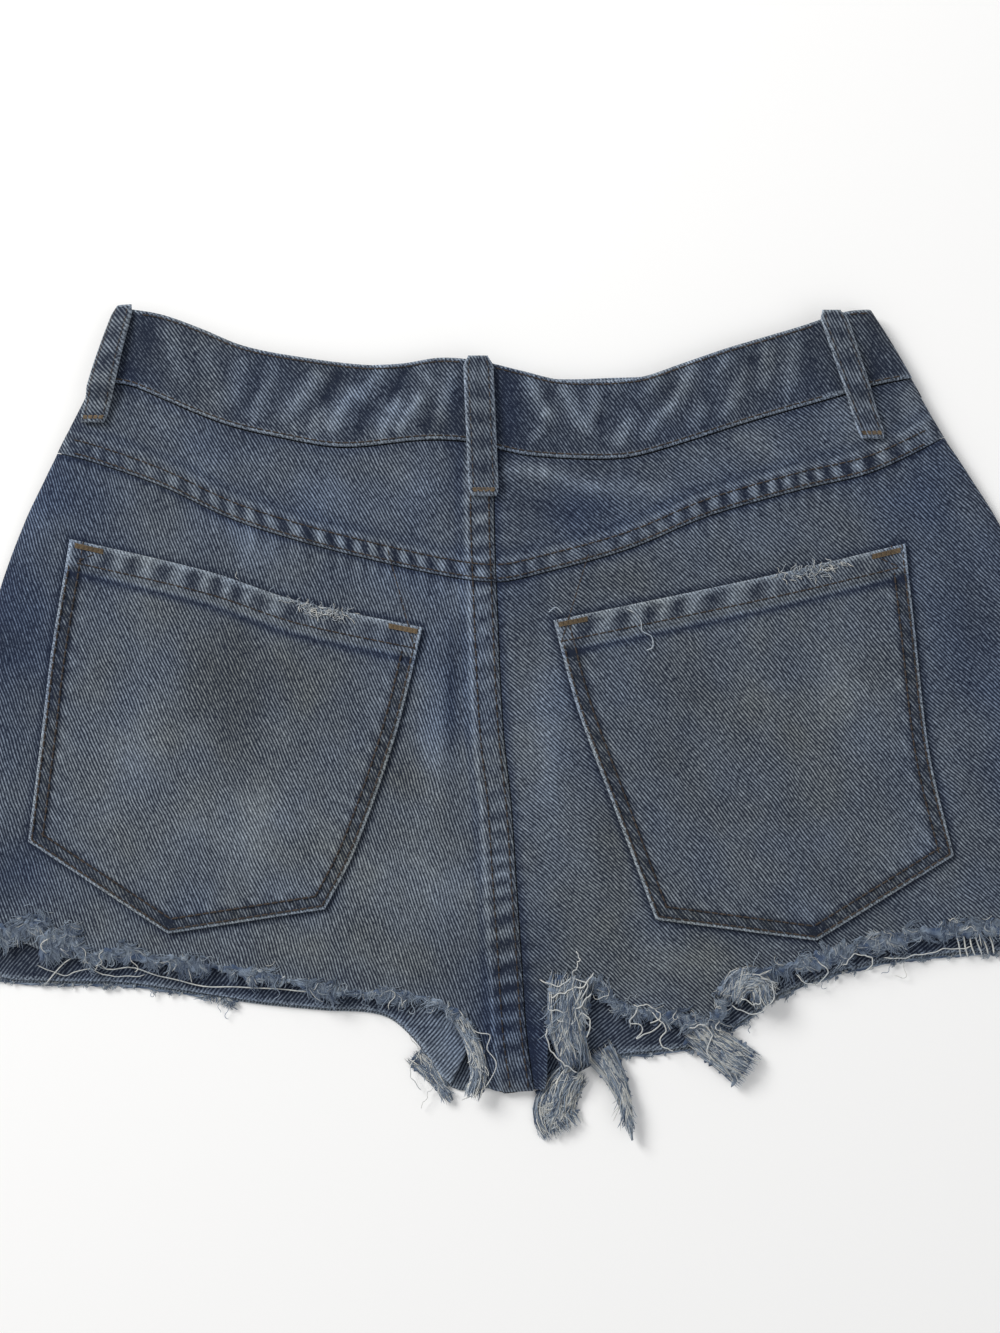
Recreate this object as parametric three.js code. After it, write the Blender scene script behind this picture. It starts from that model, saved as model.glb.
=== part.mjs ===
// Cut-off denim shorts lying flat with the front down, in millimetres.
// +X runs across the body, +Y towards the waist, +Z up; the front rests on Z = 0.
import * as THREE from "three";

// ---- cloth and seams ---------------------------------------------------------------
const CLOTH = 1.2; // one layer of denim
const BAND_HALF = 1.2; // the waistband stands this far past a panel's two faces
const SEAM_GAP = 0.3; // between two sewn pieces, edge to edge
const LAY_GAP = 0.45; // under a piece laid on a panel
const FELL_RISE = 0.8; // ridge of a felled seam over its panel
const FELL_WIDE = 11.6; // centre-back felled seam
const YOKE_FELL = 8.6; // yoke's felled seam
const FELL_SLOPE = 1.0; // the ridge's soft shoulder
const POCKET_HEM = 10.8; // turned top edge of a back pocket
const POCKET_HEM_RISE = 0.7;
const LOOP_THICK = 1.8; // belt loop, folded
const LOOP_ARCH = 0.9; // how far a back loop stands off the band at its middle
const LOOP_DROP = 7; // under the band a loop comes down to the yoke within this length
const FRAY_THICK = 1.2; // loose threads, lying

// ---- heights over the floor --------------------------------------------------------
const BACK_LOW = 5.7; // outer face of the back, towards the hems
const BACK_HIGH = 8.6; // the same at the waistband's seam
const BACK_HELD = 20; // it keeps that height this far under the band
const BACK_RUN = 58; // and then falls from one to the other within this length
const FRONT_HIGH = 3.0; // outer face of the front at the waistband, over its loops
const FRONT_HELD = 24; // it keeps that height this far under the band
const FRONT_RUN = 28; // and then comes down to the floor within this length
const SIDE_TURN = 12; // width in which a side turns from back to front
const CROTCH = { x: -1, y: -158, half: 9.5, turn: 5, fade: 4 };

// ---- layout of the front -----------------------------------------------------------
const FRONT_CENTRE = -3;
const FLAP_EDGE = FRONT_CENTRE + 6; // left front's edge over the zip
const BAND_HEIGHT = 38;
const BAND_LAP = { left: FRONT_CENTRE + 12, right: FRONT_CENTRE - 14, drop: 2.7, clear: 8, run: 14 };
const ZIP = { top: 5, slider: 9, long: 112, chain: 3, tape: 13, low: 1.55, high: 2.5, stand: 2.7 };
const SHIELD = { left: -20, right: 22, top: 4, long: 128, low: 3.0, high: 4.0 };
const FACING = { inner: 100, long: 76, low: 1.6, high: 2.6 };
const BUTTON = { radius: 8.5, rim: 7.6, high: 1.5, sides: 24 };
const FRONT_LOOPS = [{ name: "left", x: -96 }, { name: "right", x: 90 }];
const FRONT_LOOP = { wide: 12.9, long: 58, low: 1.5, high: 3.0 };

// ---- the slant pocket's mouth: across, and under the waistband --------------------------
const MOUTH = [{ x: 118, drop: 0 }, { x: 121, drop: 22 }, { x: 131, drop: 42 }, { x: 150, drop: 56 }];
const MOUTH_END = 63;
const SIDE_POINTS = 8; // points of a front's side edge under the mouth

// ---- how finely a piece is divided -------------------------------------------------------
const CELLS = { back: 11, yoke: 3, band: 26, bandFront: 14, front: 10, frontLow: 8, facing: 4,
  facingLow: 2, pocketSide: 5, pocketLow: 8, loopWide: 3, loopLong: 8, hemTurn: 18 };
const TURN_STEPS = [0, 0.9, 3.5, 7.4, SIDE_TURN]; // from a side's edge inwards
const FRONT_STEPS = [0, 12, FRONT_HELD, 31, 38, 45, FRONT_HELD + FRONT_RUN]; // under the band
const BACK_EDGE = 0.93; // share down a back panel where its finer hem rows start
const FRONT_EDGE_ROWS = 6; // last row's height over a front's hem

// ---- hems --------------------------------------------------------------------------------
const HEM_TURN = { start: 0.12, end: 0.985, upper: 0.95, lower: 0.995 };
const FRAY_START = { back: 0.1, front: 0.12 }; // threads begin past the crotch
const FRAY_NUDGE = 0.004; // shares of a hem between which its direction is read
const FRAY_INSIDE = 0.97;

// ---- outline, a row per height or per station ---------------------------------------
const SIDES = [
  { y: -100, left: -238.5, right: 238.5 },
  { y: -60, left: -238.5, right: 238 },
  { y: -15, left: -236.5, right: 235.5 },
  { y: 10, left: -233, right: 232.5 },
  { y: 36, left: -228.5, right: 227.5 },
  { y: 62, left: -221.5, right: 220.5 },
  { y: 88, left: -211.5, right: 207.5 },
  { y: 107, left: -202, right: 195 },
  { y: 125, left: -193, right: 183 },
  { y: 147, left: -182, right: 170.5 },
  { y: 165, left: -174.5, right: 160 },
  { y: 179, left: -169, right: 151 },
];
const BAND_TOP = [
  { x: -170, y: 178.5 }, { x: -152, y: 175.5 }, { x: -135, y: 169.5 }, { x: -118, y: 162.5 },
  { x: -100, y: 158.5 }, { x: -66, y: 154 }, { x: -49, y: 154.5 }, { x: -32, y: 157 },
  { x: -15, y: 155.5 }, { x: 2, y: 151.5 }, { x: 20, y: 147.5 }, { x: 52, y: 148.5 },
  { x: 71, y: 154.5 }, { x: 90, y: 161 }, { x: 122, y: 170.5 }, { x: 140, y: 176.5 },
  { x: 152, y: 178 },
];
const BAND_SEAM = [
  { x: -182, y: 146.5 }, { x: -166, y: 145 }, { x: -152, y: 139.5 }, { x: -137, y: 133 },
  { x: -122, y: 127.5 }, { x: -103, y: 123 }, { x: -75, y: 118.5 }, { x: -40, y: 121.5 },
  { x: -22, y: 121 }, { x: -7, y: 117.5 }, { x: 5, y: 115 }, { x: 29, y: 113.5 },
  { x: 47, y: 114 }, { x: 62, y: 117.5 }, { x: 102, y: 130 }, { x: 137, y: 140 },
  { x: 152, y: 144.5 }, { x: 171, y: 148.5 },
];
const YOKE_SEAM = [
  { x: -198, y: 116.5 }, { x: -182, y: 112.5 }, { x: -152, y: 102 }, { x: -122, y: 88 },
  { x: -93, y: 78.5 }, { x: -60, y: 70 }, { x: -30, y: 63.5 }, { x: -8, y: 61 },
  { x: 10, y: 64.5 }, { x: 48, y: 75 }, { x: 82, y: 89 }, { x: 122, y: 100.5 },
  { x: 148, y: 106.5 }, { x: 162, y: 112 }, { x: 184, y: 123 },
];
const BACK_SEAM = [
  { y: -158, x: 7.7 }, { y: -133, x: 4.4 }, { y: -100, x: 2.2 }, { y: -67, x: 0 },
  { y: -34, x: -2.2 }, { y: -2, x: -5.6 }, { y: 53, x: -8.2 }, { y: 96, x: -9.5 },
  { y: 124, x: -8 },
];
// front waistband's top edge against the back's
const FRONT_EDGE = [
  { x: -170, y: 0 }, { x: -120, y: -4 }, { x: -60, y: -5 }, { x: -20, y: -3 },
  { x: 12, y: 0 }, { x: 38, y: 1.8 }, { x: 62, y: 0 }, { x: 100, y: -4 }, { x: 152, y: 0 },
];
// raw hems, from the crotch out to the side
const BACK_HEM = {
  left: [
    { x: 7.7, y: -158 }, { x: -10.5, y: -158 }, { x: -15, y: -144 }, { x: -20, y: -131 },
    { x: -28, y: -122.5 }, { x: -42, y: -117 }, { x: -71, y: -115 }, { x: -97, y: -110 },
    { x: -125, y: -104.5 }, { x: -164, y: -100 }, { x: -195, y: -100.5 }, { x: -221, y: -90 },
    { x: -238.5, y: -86 },
  ],
  right: [
    { x: 7.7, y: -158 }, { x: 12.5, y: -157 }, { x: 14, y: -138 }, { x: 20, y: -116 },
    { x: 33, y: -110 }, { x: 45, y: -121 }, { x: 65, y: -124.5 }, { x: 84, y: -126.5 },
    { x: 92, y: -112 }, { x: 117, y: -104 }, { x: 153, y: -93.5 }, { x: 192, y: -87 },
    { x: 238.5, y: -86 },
  ],
};
const FRONT_HEM = {
  left: [
    { x: 3, y: -158 }, { x: -14, y: -158 }, { x: -25, y: -158.5 }, { x: -33, y: -153 },
    { x: -43, y: -138 }, { x: -57, y: -126.5 }, { x: -84, y: -124 }, { x: -110, y: -121.5 },
    { x: -144, y: -116.5 }, { x: -170, y: -113 }, { x: -200, y: -112.5 }, { x: -224, y: -110 },
    { x: -238.5, y: -94 },
  ],
  right: [
    { x: 3, y: -158 }, { x: 14, y: -158 }, { x: 25, y: -152 }, { x: 40, y: -145 },
    { x: 60, y: -142.5 }, { x: 80, y: -139.5 }, { x: 97, y: -130 }, { x: 112, y: -119 },
    { x: 135, y: -109.5 }, { x: 160, y: -103.5 }, { x: 192, y: -100 }, { x: 222, y: -98 },
    { x: 238.5, y: -92 },
  ],
};
// how far loose threads reach past a hem, at shares of its length
const FRAY_REACH = {
  back_left: [{ at: 0, out: 4 }, { at: 0.3, out: 6 }, { at: 0.55, out: 5 }, { at: 0.85, out: 8 },
    { at: 1, out: 3 }],
  back_right: [{ at: 0, out: 4 }, { at: 0.25, out: 8 }, { at: 0.45, out: 12 },
    { at: 0.6, out: 8 }, { at: 0.85, out: 8 }, { at: 1, out: 3 }],
  front_left: [{ at: 0, out: 3 }, { at: 0.5, out: 3 }, { at: 0.75, out: 4 }, { at: 1, out: 2 }],
  front_right: [{ at: 0, out: 3 }, { at: 0.4, out: 4 }, { at: 1, out: 2 }],
};

// ---- back pockets: straight or bowed edges between five corners ----------------------
const POCKETS = {
  left: {
    top: [{ x: -40, y: 41.5 }, { x: -94, y: 53 }, { x: -132, y: 65.5 }, { x: -191.5, y: 79.5 }],
    inner: [{ x: -40, y: 41.5 }, { x: -52, y: -6 }, { x: -69, y: -54 }, { x: -82, y: -79.5 }],
    outer: [{ x: -191.5, y: 79.5 }, { x: -199.5, y: 31.5 }, { x: -203.5, y: -2 },
      { x: -209.5, y: -50.5 }],
    point: { x: -149.5, y: -90 },
  },
  right: {
    top: [{ x: 16, y: 44.5 }, { x: 62.5, y: 54 }, { x: 116.5, y: 65.5 }, { x: 167, y: 77.5 }],
    inner: [{ x: 16, y: 44.5 }, { x: 26, y: 7.5 }, { x: 41.5, y: -34.5 }, { x: 60, y: -84 }],
    outer: [{ x: 167, y: 77.5 }, { x: 171, y: 42.5 }, { x: 177.5, y: -12.5 },
      { x: 188, y: -56.5 }],
    point: { x: 129, y: -93 },
  },
};

// ---- back belt loops: their two ends ------------------------------------------------
const BACK_LOOPS = [
  { name: "back_left", topLeft: -169, topRight: -162, top: 179.5, lowLeft: -186, lowRight: -175.5,
    low: 129, ridge: 0 },
  { name: "back_centre", topLeft: -22.8, topRight: -9.9, top: 157.5, lowLeft: -20.2,
    lowRight: -7.3, low: 97.5, ridge: FELL_RISE },
  { name: "back_right", topLeft: 128.5, topRight: 140.5, top: 177, lowLeft: 147, lowRight: 158.2,
    low: 122, ridge: 0 },
];

// ---- largest folds of the back, as soft ridges (or troughs) between two ends ----------
const FOLDS = [
  { x1: -36, y1: 42, x2: -41, y2: -30, wide: 14, high: 0.9 },
  { x1: -22, y1: 24, x2: -18, y2: -40, wide: 11, high: -0.4 },
  { x1: 16, y1: 30, x2: 14, y2: -48, wide: 14, high: 0.7 },
  { x1: -48, y1: -46, x2: -72, y2: -92, wide: 18, high: 1.0 },
  { x1: -122, y1: 42, x2: -90, y2: -22, wide: 15, high: -0.6 },
  { x1: -150, y1: 10, x2: -165, y2: -60, wide: 22, high: 0.7 },
  { x1: 90, y1: 20, x2: 118, y2: -60, wide: 24, high: 0.8 },
  { x1: 40, y1: 96, x2: 84, y2: 108, wide: 14, high: 0.6 },
];

// ---- tufts of loose thread under the hems: outline and heights ------------------------
const TUFTS = [
  { name: "tuft_left_tip", low: 0.4, high: 2.4, rim: [[-46, -142], [-38, -147], [-33, -155],
    [-27, -161], [-30, -164], [-36, -158], [-43, -152]] },
  { name: "tuft_left_edge", low: 6.4, high: 8.4, rim: [[-27, -124], [-20, -130], [-14, -146],
    [-10, -156], [-16, -161], [-24, -162], [-19, -150], [-24, -138]] },
  { name: "tuft_centre", low: 6.4, high: 9.4, rim: [[12, -106], [24, -104], [35, -108],
    [38, -122], [36, -140], [28, -150], [18, -140], [11, -124]] },
  { name: "tuft_round", low: 0.4, high: 3.4, rim: [[9, -159.6], [15, -158], [24, -153],
    [30, -150.4], [30, -172], [24, -178], [14, -178], [8, -170]] },
  { name: "tuft_point", low: 2.9, high: 5.4, rim: [[31, -140], [40, -138], [46, -150],
    [51, -166], [50, -179.5], [44, -168], [38, -160], [31, -154]] },
  { name: "tuft_right_low", low: 2.9, high: 5.4, rim: [[78, -134], [92, -132], [98, -142],
    [104, -150], [99, -156], [88, -152], [76, -146]] },
  { name: "tuft_right_curl", low: 6.4, high: 9.2, rim: [[88, -116], [98, -107], [109, -110],
    [110, -122], [103, -130], [92, -127]] },
];

const FINISH = {
  denim: { color: 0x505a68, roughness: 0.92, metalness: 0 },
  denim_dark: { color: 0x434f60, roughness: 0.92, metalness: 0 },
  fray: { color: 0x8b939c, roughness: 0.95, metalness: 0 },
  tape: { color: 0x2b3038, roughness: 0.85, metalness: 0 },
  metal: { color: 0x8a7a5c, roughness: 0.4, metalness: 1 },
};

// ---- curves ------------------------------------------------------------------------
const mix = (a, b, t) => a + (b - a) * t;
const clamp = (t) => Math.min(Math.max(t, 0), 1);
const ease = (t) => clamp(t) ** 2 * (3 - 2 * clamp(t));
const moved = (line, by) => (t) => line(t) + by;

// Smooth line through a table's rows: column `out` at any value of column `by`.
function through(rows, by, out) {
  const last = rows.length - 1;
  const slope = (i) => {
    const [a, b] = [rows[Math.max(i - 1, 0)], rows[Math.min(i + 1, last)]];
    return (b[out] - a[out]) / (b[by] - a[by]);
  };
  return (value) => {
    const at = Math.min(Math.max(value, rows[0][by]), rows[last][by]);
    let i = 0;
    while (i < last - 1 && at > rows[i + 1][by]) i += 1;
    const span = rows[i + 1][by] - rows[i][by];
    const t = (at - rows[i][by]) / span;
    const bend = t * (1 - t) * span;
    const straight = mix(rows[i][out], rows[i + 1][out], t);
    const rise = (rows[i + 1][out] - rows[i][out]) / span;
    return straight + bend * ((slope(i) - rise) * (1 - t) - (slope(i + 1) - rise) * t);
  };
}

// Path through points, read by its share of the length.
function along(points) {
  let length = 0;
  const rows = points.map((p, i) => {
    if (i > 0) length += Math.hypot(p.x - points[i - 1].x, p.y - points[i - 1].y);
    return { s: length, x: p.x, y: p.y };
  });
  const [x, y] = [through(rows, "s", "x"), through(rows, "s", "y")];
  return (t) => [x(t * length), y(t * length)];
}

const side = { left: through(SIDES, "y", "left"), right: through(SIDES, "y", "right") };
const bandTop = through(BAND_TOP, "x", "y");
const bandSeam = through(BAND_SEAM, "x", "y");
const yokeSeam = through(YOKE_SEAM, "x", "y");
const backSeam = through(BACK_SEAM, "y", "x");
const frontEdge = through(FRONT_EDGE, "x", "y");
const frontTop = (x) => bandTop(x) + frontEdge(x);
const frontSeam = (x) => Math.min(frontTop(x) - BAND_HEIGHT, bandSeam(x) + 1);

// ---- heights and turned edges --------------------------------------------------------
function foldLift(x, y) {
  return FOLDS.reduce((sum, fold) => {
    const [dx, dy] = [fold.x2 - fold.x1, fold.y2 - fold.y1];
    const t = clamp(((x - fold.x1) * dx + (y - fold.y1) * dy) / (dx * dx + dy * dy));
    const away = Math.hypot(x - fold.x1 - t * dx, y - fold.y1 - t * dy);
    return sum + fold.high * Math.exp(-((away / fold.wide) ** 2));
  }, 0);
}

function backHeight(x, y) {
  const near = ease(1 - (bandSeam(x) - y - BACK_HELD) / BACK_RUN);
  return mix(BACK_LOW, BACK_HIGH, near) + foldLift(x, y) * (1 - near);
}

function frontHeight(x, y) {
  return FRONT_HIGH * ease(1 - (frontSeam(x) - y - FRONT_HELD) / FRONT_RUN);
}

// The nearest folded edge: its outward direction, and how far the cloth has turned over it.
function turnAt(x, y) {
  const past = Math.max(Math.abs(x - CROTCH.x) - CROTCH.half, 0) / CROTCH.fade;
  const edges = [
    { left: (x - side.left(y)) / SIDE_TURN, out: [-1, 0] },
    { left: (side.right(y) - x) / SIDE_TURN, out: [1, 0] },
    { left: (y - CROTCH.y) / CROTCH.turn + past, out: [0, -1] },
  ];
  const edge = edges.reduce((a, b) => (b.left < a.left ? b : a));
  const sin = clamp(1 - edge.left);
  return { out: edge.out, sin, cos: Math.sqrt(1 - sin * sin) };
}

// A point `off` outside the back's outer face (negative: inside it).
function onBack(x, y, off) {
  const turn = turnAt(x, y);
  const high = backHeight(x, y);
  const low = (high + frontHeight(x, y) + SEAM_GAP) / 2;
  const z = low + (high + off - low) * turn.cos;
  return [x + turn.out[0] * off * turn.sin, y + turn.out[1] * off * turn.sin, z];
}

// A point `off` outside the front's outer face, which looks down.
function onFront(x, y, off) {
  const turn = turnAt(x, y);
  const high = frontHeight(x, y);
  const low = (backHeight(x, y) + high - SEAM_GAP) / 2;
  const z = low - (low - high + off) * turn.cos;
  return [x + turn.out[0] * off * turn.sin, y + turn.out[1] * off * turn.sin, z];
}

// ---- patches: the flat shape of a piece, read by shares across and down ----------------
function patch({ upper, lower, inner, outer }) {
  const [a, b, c, d] = [upper(0), upper(1), lower(0), lower(1)];
  return (u, v) => [0, 1].map((k) =>
    (1 - v) * upper(u)[k] + v * lower(u)[k] + (1 - u) * inner(v)[k] + u * outer(v)[k]
    - (1 - u) * ((1 - v) * a[k] + v * c[k]) - u * ((1 - v) * b[k] + v * d[k]));
}

const across = (line, from, to) => (u) => [mix(from, to, u), line(mix(from, to, u))];
const down = (edge, from, to) => (v) => [edge(mix(from, to, v)), mix(from, to, v)];

// Where an upright edge and a level line cross.
function corner(edge, line) {
  let y = 0;
  for (let i = 0; i < 40; i += 1) y = line(edge(y));
  return { x: edge(y), y };
}

// Piece between two upright edges and two level lines.
function between({ upper, lower, inner, outer }) {
  const [a, b] = [corner(inner, upper), corner(outer, upper)];
  const [c, d] = [corner(inner, lower), corner(outer, lower)];
  return patch({ upper: across(upper, a.x, b.x), lower: across(lower, c.x, d.x),
    inner: down(inner, a.y, c.y), outer: down(outer, b.y, d.y) });
}

const widthAt = (place, v) => Math.abs(place(1, v)[0] - place(0, v)[0]);
const heightAt = (place, u) => Math.abs(place(u, 1)[1] - place(u, 0)[1]);

// Distances across a piece: its inner edge's steps, even steps, then its outer edge's.
function steps(total, first, last, count) {
  const [from, to] = [first[first.length - 1], total - last[last.length - 1]];
  const inside = Array.from({ length: count - 1 }, (_, i) => mix(from, to, (i + 1) / count));
  return [...first, ...inside, ...last.map((d) => total - d).reverse()];
}

// ---- solids ------------------------------------------------------------------------
function meshOf(name, finish, points, faces) {
  const geometry = new THREE.BufferGeometry();
  geometry.setAttribute("position", new THREE.Float32BufferAttribute(points.flat(), 3));
  geometry.setIndex(volumeOf(points, faces) < 0 ? faces.slice().reverse() : faces);
  geometry.computeVertexNormals();
  const mesh = new THREE.Mesh(geometry, new THREE.MeshStandardMaterial(FINISH[finish]));
  mesh.name = name;
  return mesh;
}

function volumeOf(points, faces) {
  let sum = 0;
  for (let i = 0; i < faces.length; i += 3) {
    const [a, b, c] = [0, 1, 2].map((k) => new THREE.Vector3(...points[faces[i + k]]));
    sum += a.dot(b.cross(c));
  }
  return sum;
}

// Closed sheet from a grid whose cells hold an outer and an inner point.
function sheetSolid(name, finish, grid) {
  const [rows, cols] = [grid.length, grid[0].length];
  const at = (i, j, face) => 2 * (i * cols + j) + face;
  const faces = [];
  const quad = (a, b, c, d) => faces.push(a, b, c, a, c, d);
  for (let i = 0; i < rows - 1; i += 1) {
    for (let j = 0; j < cols - 1; j += 1) {
      quad(at(i, j, 0), at(i + 1, j, 0), at(i + 1, j + 1, 0), at(i, j + 1, 0));
      quad(at(i, j, 1), at(i, j + 1, 1), at(i + 1, j + 1, 1), at(i + 1, j, 1));
    }
  }
  const rim = [];
  for (let i = 0; i < rows - 1; i += 1) rim.push([i, 0]);
  for (let j = 0; j < cols - 1; j += 1) rim.push([rows - 1, j]);
  for (let i = rows - 1; i > 0; i -= 1) rim.push([i, cols - 1]);
  for (let j = cols - 1; j > 0; j -= 1) rim.push([0, j]);
  rim.forEach(([i, j], k) => {
    const [m, n] = rim[(k + 1) % rim.length];
    quad(at(m, n, 0), at(i, j, 0), at(i, j, 1), at(m, n, 1));
  });
  return meshOf(name, finish, grid.flat().flatMap((cell) => [cell.outer, cell.inner]), faces);
}

// Cloth laid along a surface: `columns(v)` and `rows(u)` are shares, `offs` its two faces.
function cloth(name, finish, place, surface, columns, rows, offs) {
  const [high, wide] = [rows(0).length, columns(0).length];
  const grid = Array.from({ length: high }, (_, i) => Array.from({ length: wide }, (_, j) => {
    const u = columns(rows(0.5)[i])[j];
    const [x, y] = place(u, rows(u)[i]);
    const [out, into] = offs(i, j, x, y);
    return { outer: surface(x, y, out), inner: surface(x, y, into) };
  }));
  return sheetSolid(name, finish, grid);
}

// Flat tuft from its rim, between two heights.
function tuftSolid({ name, rim, low, high }) {
  const flat = rim.map(([x, y]) => new THREE.Vector2(x, y));
  const caps = THREE.ShapeUtils.triangulateShape(flat, []);
  const count = rim.length;
  const points = [...rim.map(([x, y]) => [x, y, high]), ...rim.map(([x, y]) => [x, y, low])];
  const faces = caps.flatMap(([a, b, c]) => [a, b, c, a + count, c + count, b + count]);
  const turned = THREE.ShapeUtils.area(flat) > 0;
  rim.forEach((_, i) => {
    const [a, b] = turned ? [i, (i + 1) % count] : [(i + 1) % count, i];
    faces.push(b, a, a + count, b, a + count, b + count);
  });
  return meshOf(name, "fray", points, faces);
}

const even = (count) => Array.from({ length: count + 1 }, (_, i) => i / count);

// ---- back --------------------------------------------------------------------------
const HANDS = [
  { name: "left", side: side.left, laps: true, shift: -SEAM_GAP / 2 },
  { name: "right", side: side.right, laps: false, shift: SEAM_GAP / 2 },
];

// Columns of a back piece: the felled strip at the centre if it has it, then on to the side.
function backColumns(place, hand) {
  const first = hand.laps ? [0, FELL_WIDE - FELL_SLOPE, FELL_WIDE] : [0];
  return (v) => {
    const wide = widthAt(place, v);
    return steps(wide, first, TURN_STEPS, CELLS.back).map((d) => d / wide);
  };
}

const fellAt = (hand, j) => (hand.laps && j < 2 ? FELL_RISE : 0);

function yoke(hand) {
  const place = between({ upper: moved(bandSeam, -SEAM_GAP / 2),
    lower: moved(yokeSeam, SEAM_GAP / 2), inner: moved(backSeam, hand.shift), outer: hand.side });
  const rows = (u) => {
    const high = heightAt(place, u);
    return steps(high, [0], [0, YOKE_FELL - FELL_SLOPE, YOKE_FELL], CELLS.yoke)
      .map((d) => d / high);
  };
  const offs = (i, j) => [Math.max(fellAt(hand, j), i > CELLS.yoke ? FELL_RISE : 0), -CLOTH];
  return cloth(`yoke_${hand.name}`, "denim", place, onBack, backColumns(place, hand), rows, offs);
}

// Hem path of a hand, its ends set on the centre seam and on the side.
function hemPath(table, hand, inner) {
  const points = table[hand.name].map((p) => ({ ...p }));
  const last = points[points.length - 1];
  points[0].x = inner(points[0].y);
  last.x = hand.side(last.y);
  return along(points);
}

function backPlace(hand) {
  const inner = moved(backSeam, hand.shift);
  const upper = moved(yokeSeam, -SEAM_GAP / 2);
  const [a, b] = [corner(inner, upper), corner(hand.side, upper)];
  const lower = hemPath(BACK_HEM, hand, inner);
  return patch({ upper: across(upper, a.x, b.x), lower, inner: down(inner, a.y, lower(0)[1]),
    outer: down(hand.side, b.y, lower(1)[1]) });
}

const BACK_ROWS = [...even(9).map((v) => v * BACK_EDGE), (1 + BACK_EDGE) / 2, 0.985, 1];

function backPanel(hand) {
  const place = backPlace(hand);
  const offs = (i, j) => [fellAt(hand, j), -CLOTH];
  return cloth(`back_panel_${hand.name}`, "denim", place, onBack, backColumns(place, hand),
    () => BACK_ROWS, offs);
}

function backPocket(hand) {
  const { top, inner, outer, point } = POCKETS[hand.name];
  const [start, end] = [inner[inner.length - 1], outer[outer.length - 1]];
  const share = Math.abs((point.x - start.x) / (end.x - start.x));
  const line = (a, b, t) => [mix(a.x, b.x, t), mix(a.y, b.y, t)];
  const lower = (u) => (u < share ? line(start, point, u / share)
    : line(point, end, (u - share) / (1 - share)));
  const place = patch({ upper: along(top), lower, inner: along(inner), outer: along(outer) });
  const half = even(CELLS.pocketSide);
  const columns = [...half.map((u) => u * share), ...half.slice(1).map((u) => mix(share, 1, u))];
  const rows = (u) => {
    const high = heightAt(place, u);
    return steps(high, [0, POCKET_HEM, POCKET_HEM + FELL_SLOPE], [0], CELLS.pocketLow)
      .map((d) => d / high);
  };
  const offs = (i) => [LAY_GAP + CLOTH + (i < 2 ? POCKET_HEM_RISE : 0), LAY_GAP];
  return cloth(`back_pocket_${hand.name}`, "denim", place, onBack, () => columns, rows, offs);
}

// ---- waistband and loops -------------------------------------------------------------
function waistbandBack() {
  const place = between({ upper: bandTop, lower: moved(bandSeam, SEAM_GAP), inner: side.left,
    outer: side.right });
  const columns = (v) => {
    const wide = widthAt(place, v);
    return steps(wide, TURN_STEPS, TURN_STEPS, CELLS.band).map((d) => d / wide);
  };
  return cloth("waistband_back", "denim_dark", place, onBack, columns, () => even(3),
    () => [BAND_HALF, -BAND_HALF]);
}

// The right run passes behind the left one at the front's centre, for the button.
function waistbandFront(hand) {
  const end = () => BAND_LAP[hand.name];
  const place = between({ upper: frontTop, lower: moved(frontSeam, SEAM_GAP), inner: end,
    outer: hand.side });
  const columns = (v) => {
    const wide = widthAt(place, v);
    return steps(wide, [0], TURN_STEPS, CELLS.bandFront).map((d) => d / wide);
  };
  const behind = (x) => (hand.name === "left" ? 0
    : BAND_LAP.drop * ease((BAND_LAP.left + BAND_LAP.clear + BAND_LAP.run - x) / BAND_LAP.run));
  const offs = (i, j, x) => [BAND_HALF - behind(x), -BAND_HALF - behind(x)];
  return cloth(`waistband_front_${hand.name}`, "denim_dark", place, onFront, columns,
    () => even(2), offs);
}

function backLoop(loop) {
  const place = (u, v) => [mix(mix(loop.topLeft, loop.topRight, u),
    mix(loop.lowLeft, loop.lowRight, u), v), mix(loop.top, loop.low, v)];
  const offs = (i, j, x, y) => {
    const onBand = ease(1 - (bandSeam(x) - y - 1) / LOOP_DROP);
    const arch = LOOP_ARCH * Math.sin((Math.PI * (loop.top - y)) / (loop.top - loop.low));
    const low = LAY_GAP + mix(loop.ridge, BAND_HALF, onBand) + arch;
    return [low + LOOP_THICK, low];
  };
  return cloth(`belt_loop_${loop.name}`, "denim", place, onBack, () => even(CELLS.loopWide),
    () => even(CELLS.loopLong), offs);
}

function frontLoop({ name, x }) {
  const top = frontTop(x) + 0.8;
  const half = FRONT_LOOP.wide / 2;
  const place = (u, v) => [mix(x - half, x + half, u), mix(top, top - FRONT_LOOP.long, v)];
  return cloth(`belt_loop_front_${name}`, "denim", place, onFront, () => even(2), () => even(4),
    () => [FRONT_LOOP.high, FRONT_LOOP.low]);
}

// ---- front ---------------------------------------------------------------------------
// Outer edge of a front panel: round the slant pocket's mouth, then down the side.
function frontOuter(hand, seam, lowest) {
  const way = Math.sign(hand.side(0));
  const high = seam(way * MOUTH[0].x);
  const mouth = MOUTH.map(({ x, drop }) => ({ x: way * x, y: high - drop }));
  const sides = even(SIDE_POINTS).map((t) => mix(high - MOUTH_END, lowest, t));
  return along([...mouth, ...sides.map((y) => ({ x: hand.side(y), y }))]);
}

function frontPlace(hand) {
  const inner = () => FLAP_EDGE + hand.shift;
  const seam = moved(frontSeam, -SEAM_GAP / 2);
  const lower = hemPath(FRONT_HEM, hand, inner);
  const outer = frontOuter(hand, seam, lower(1)[1]);
  const start = inner();
  return patch({ upper: across(seam, start, outer(0)[0]), lower,
    inner: down(inner, seam(start), lower(0)[1]), outer });
}

const FRONT_COLUMNS = [...even(CELLS.front).map((u) => u * 0.95), 0.97, 0.985, 0.996, 1];

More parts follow.
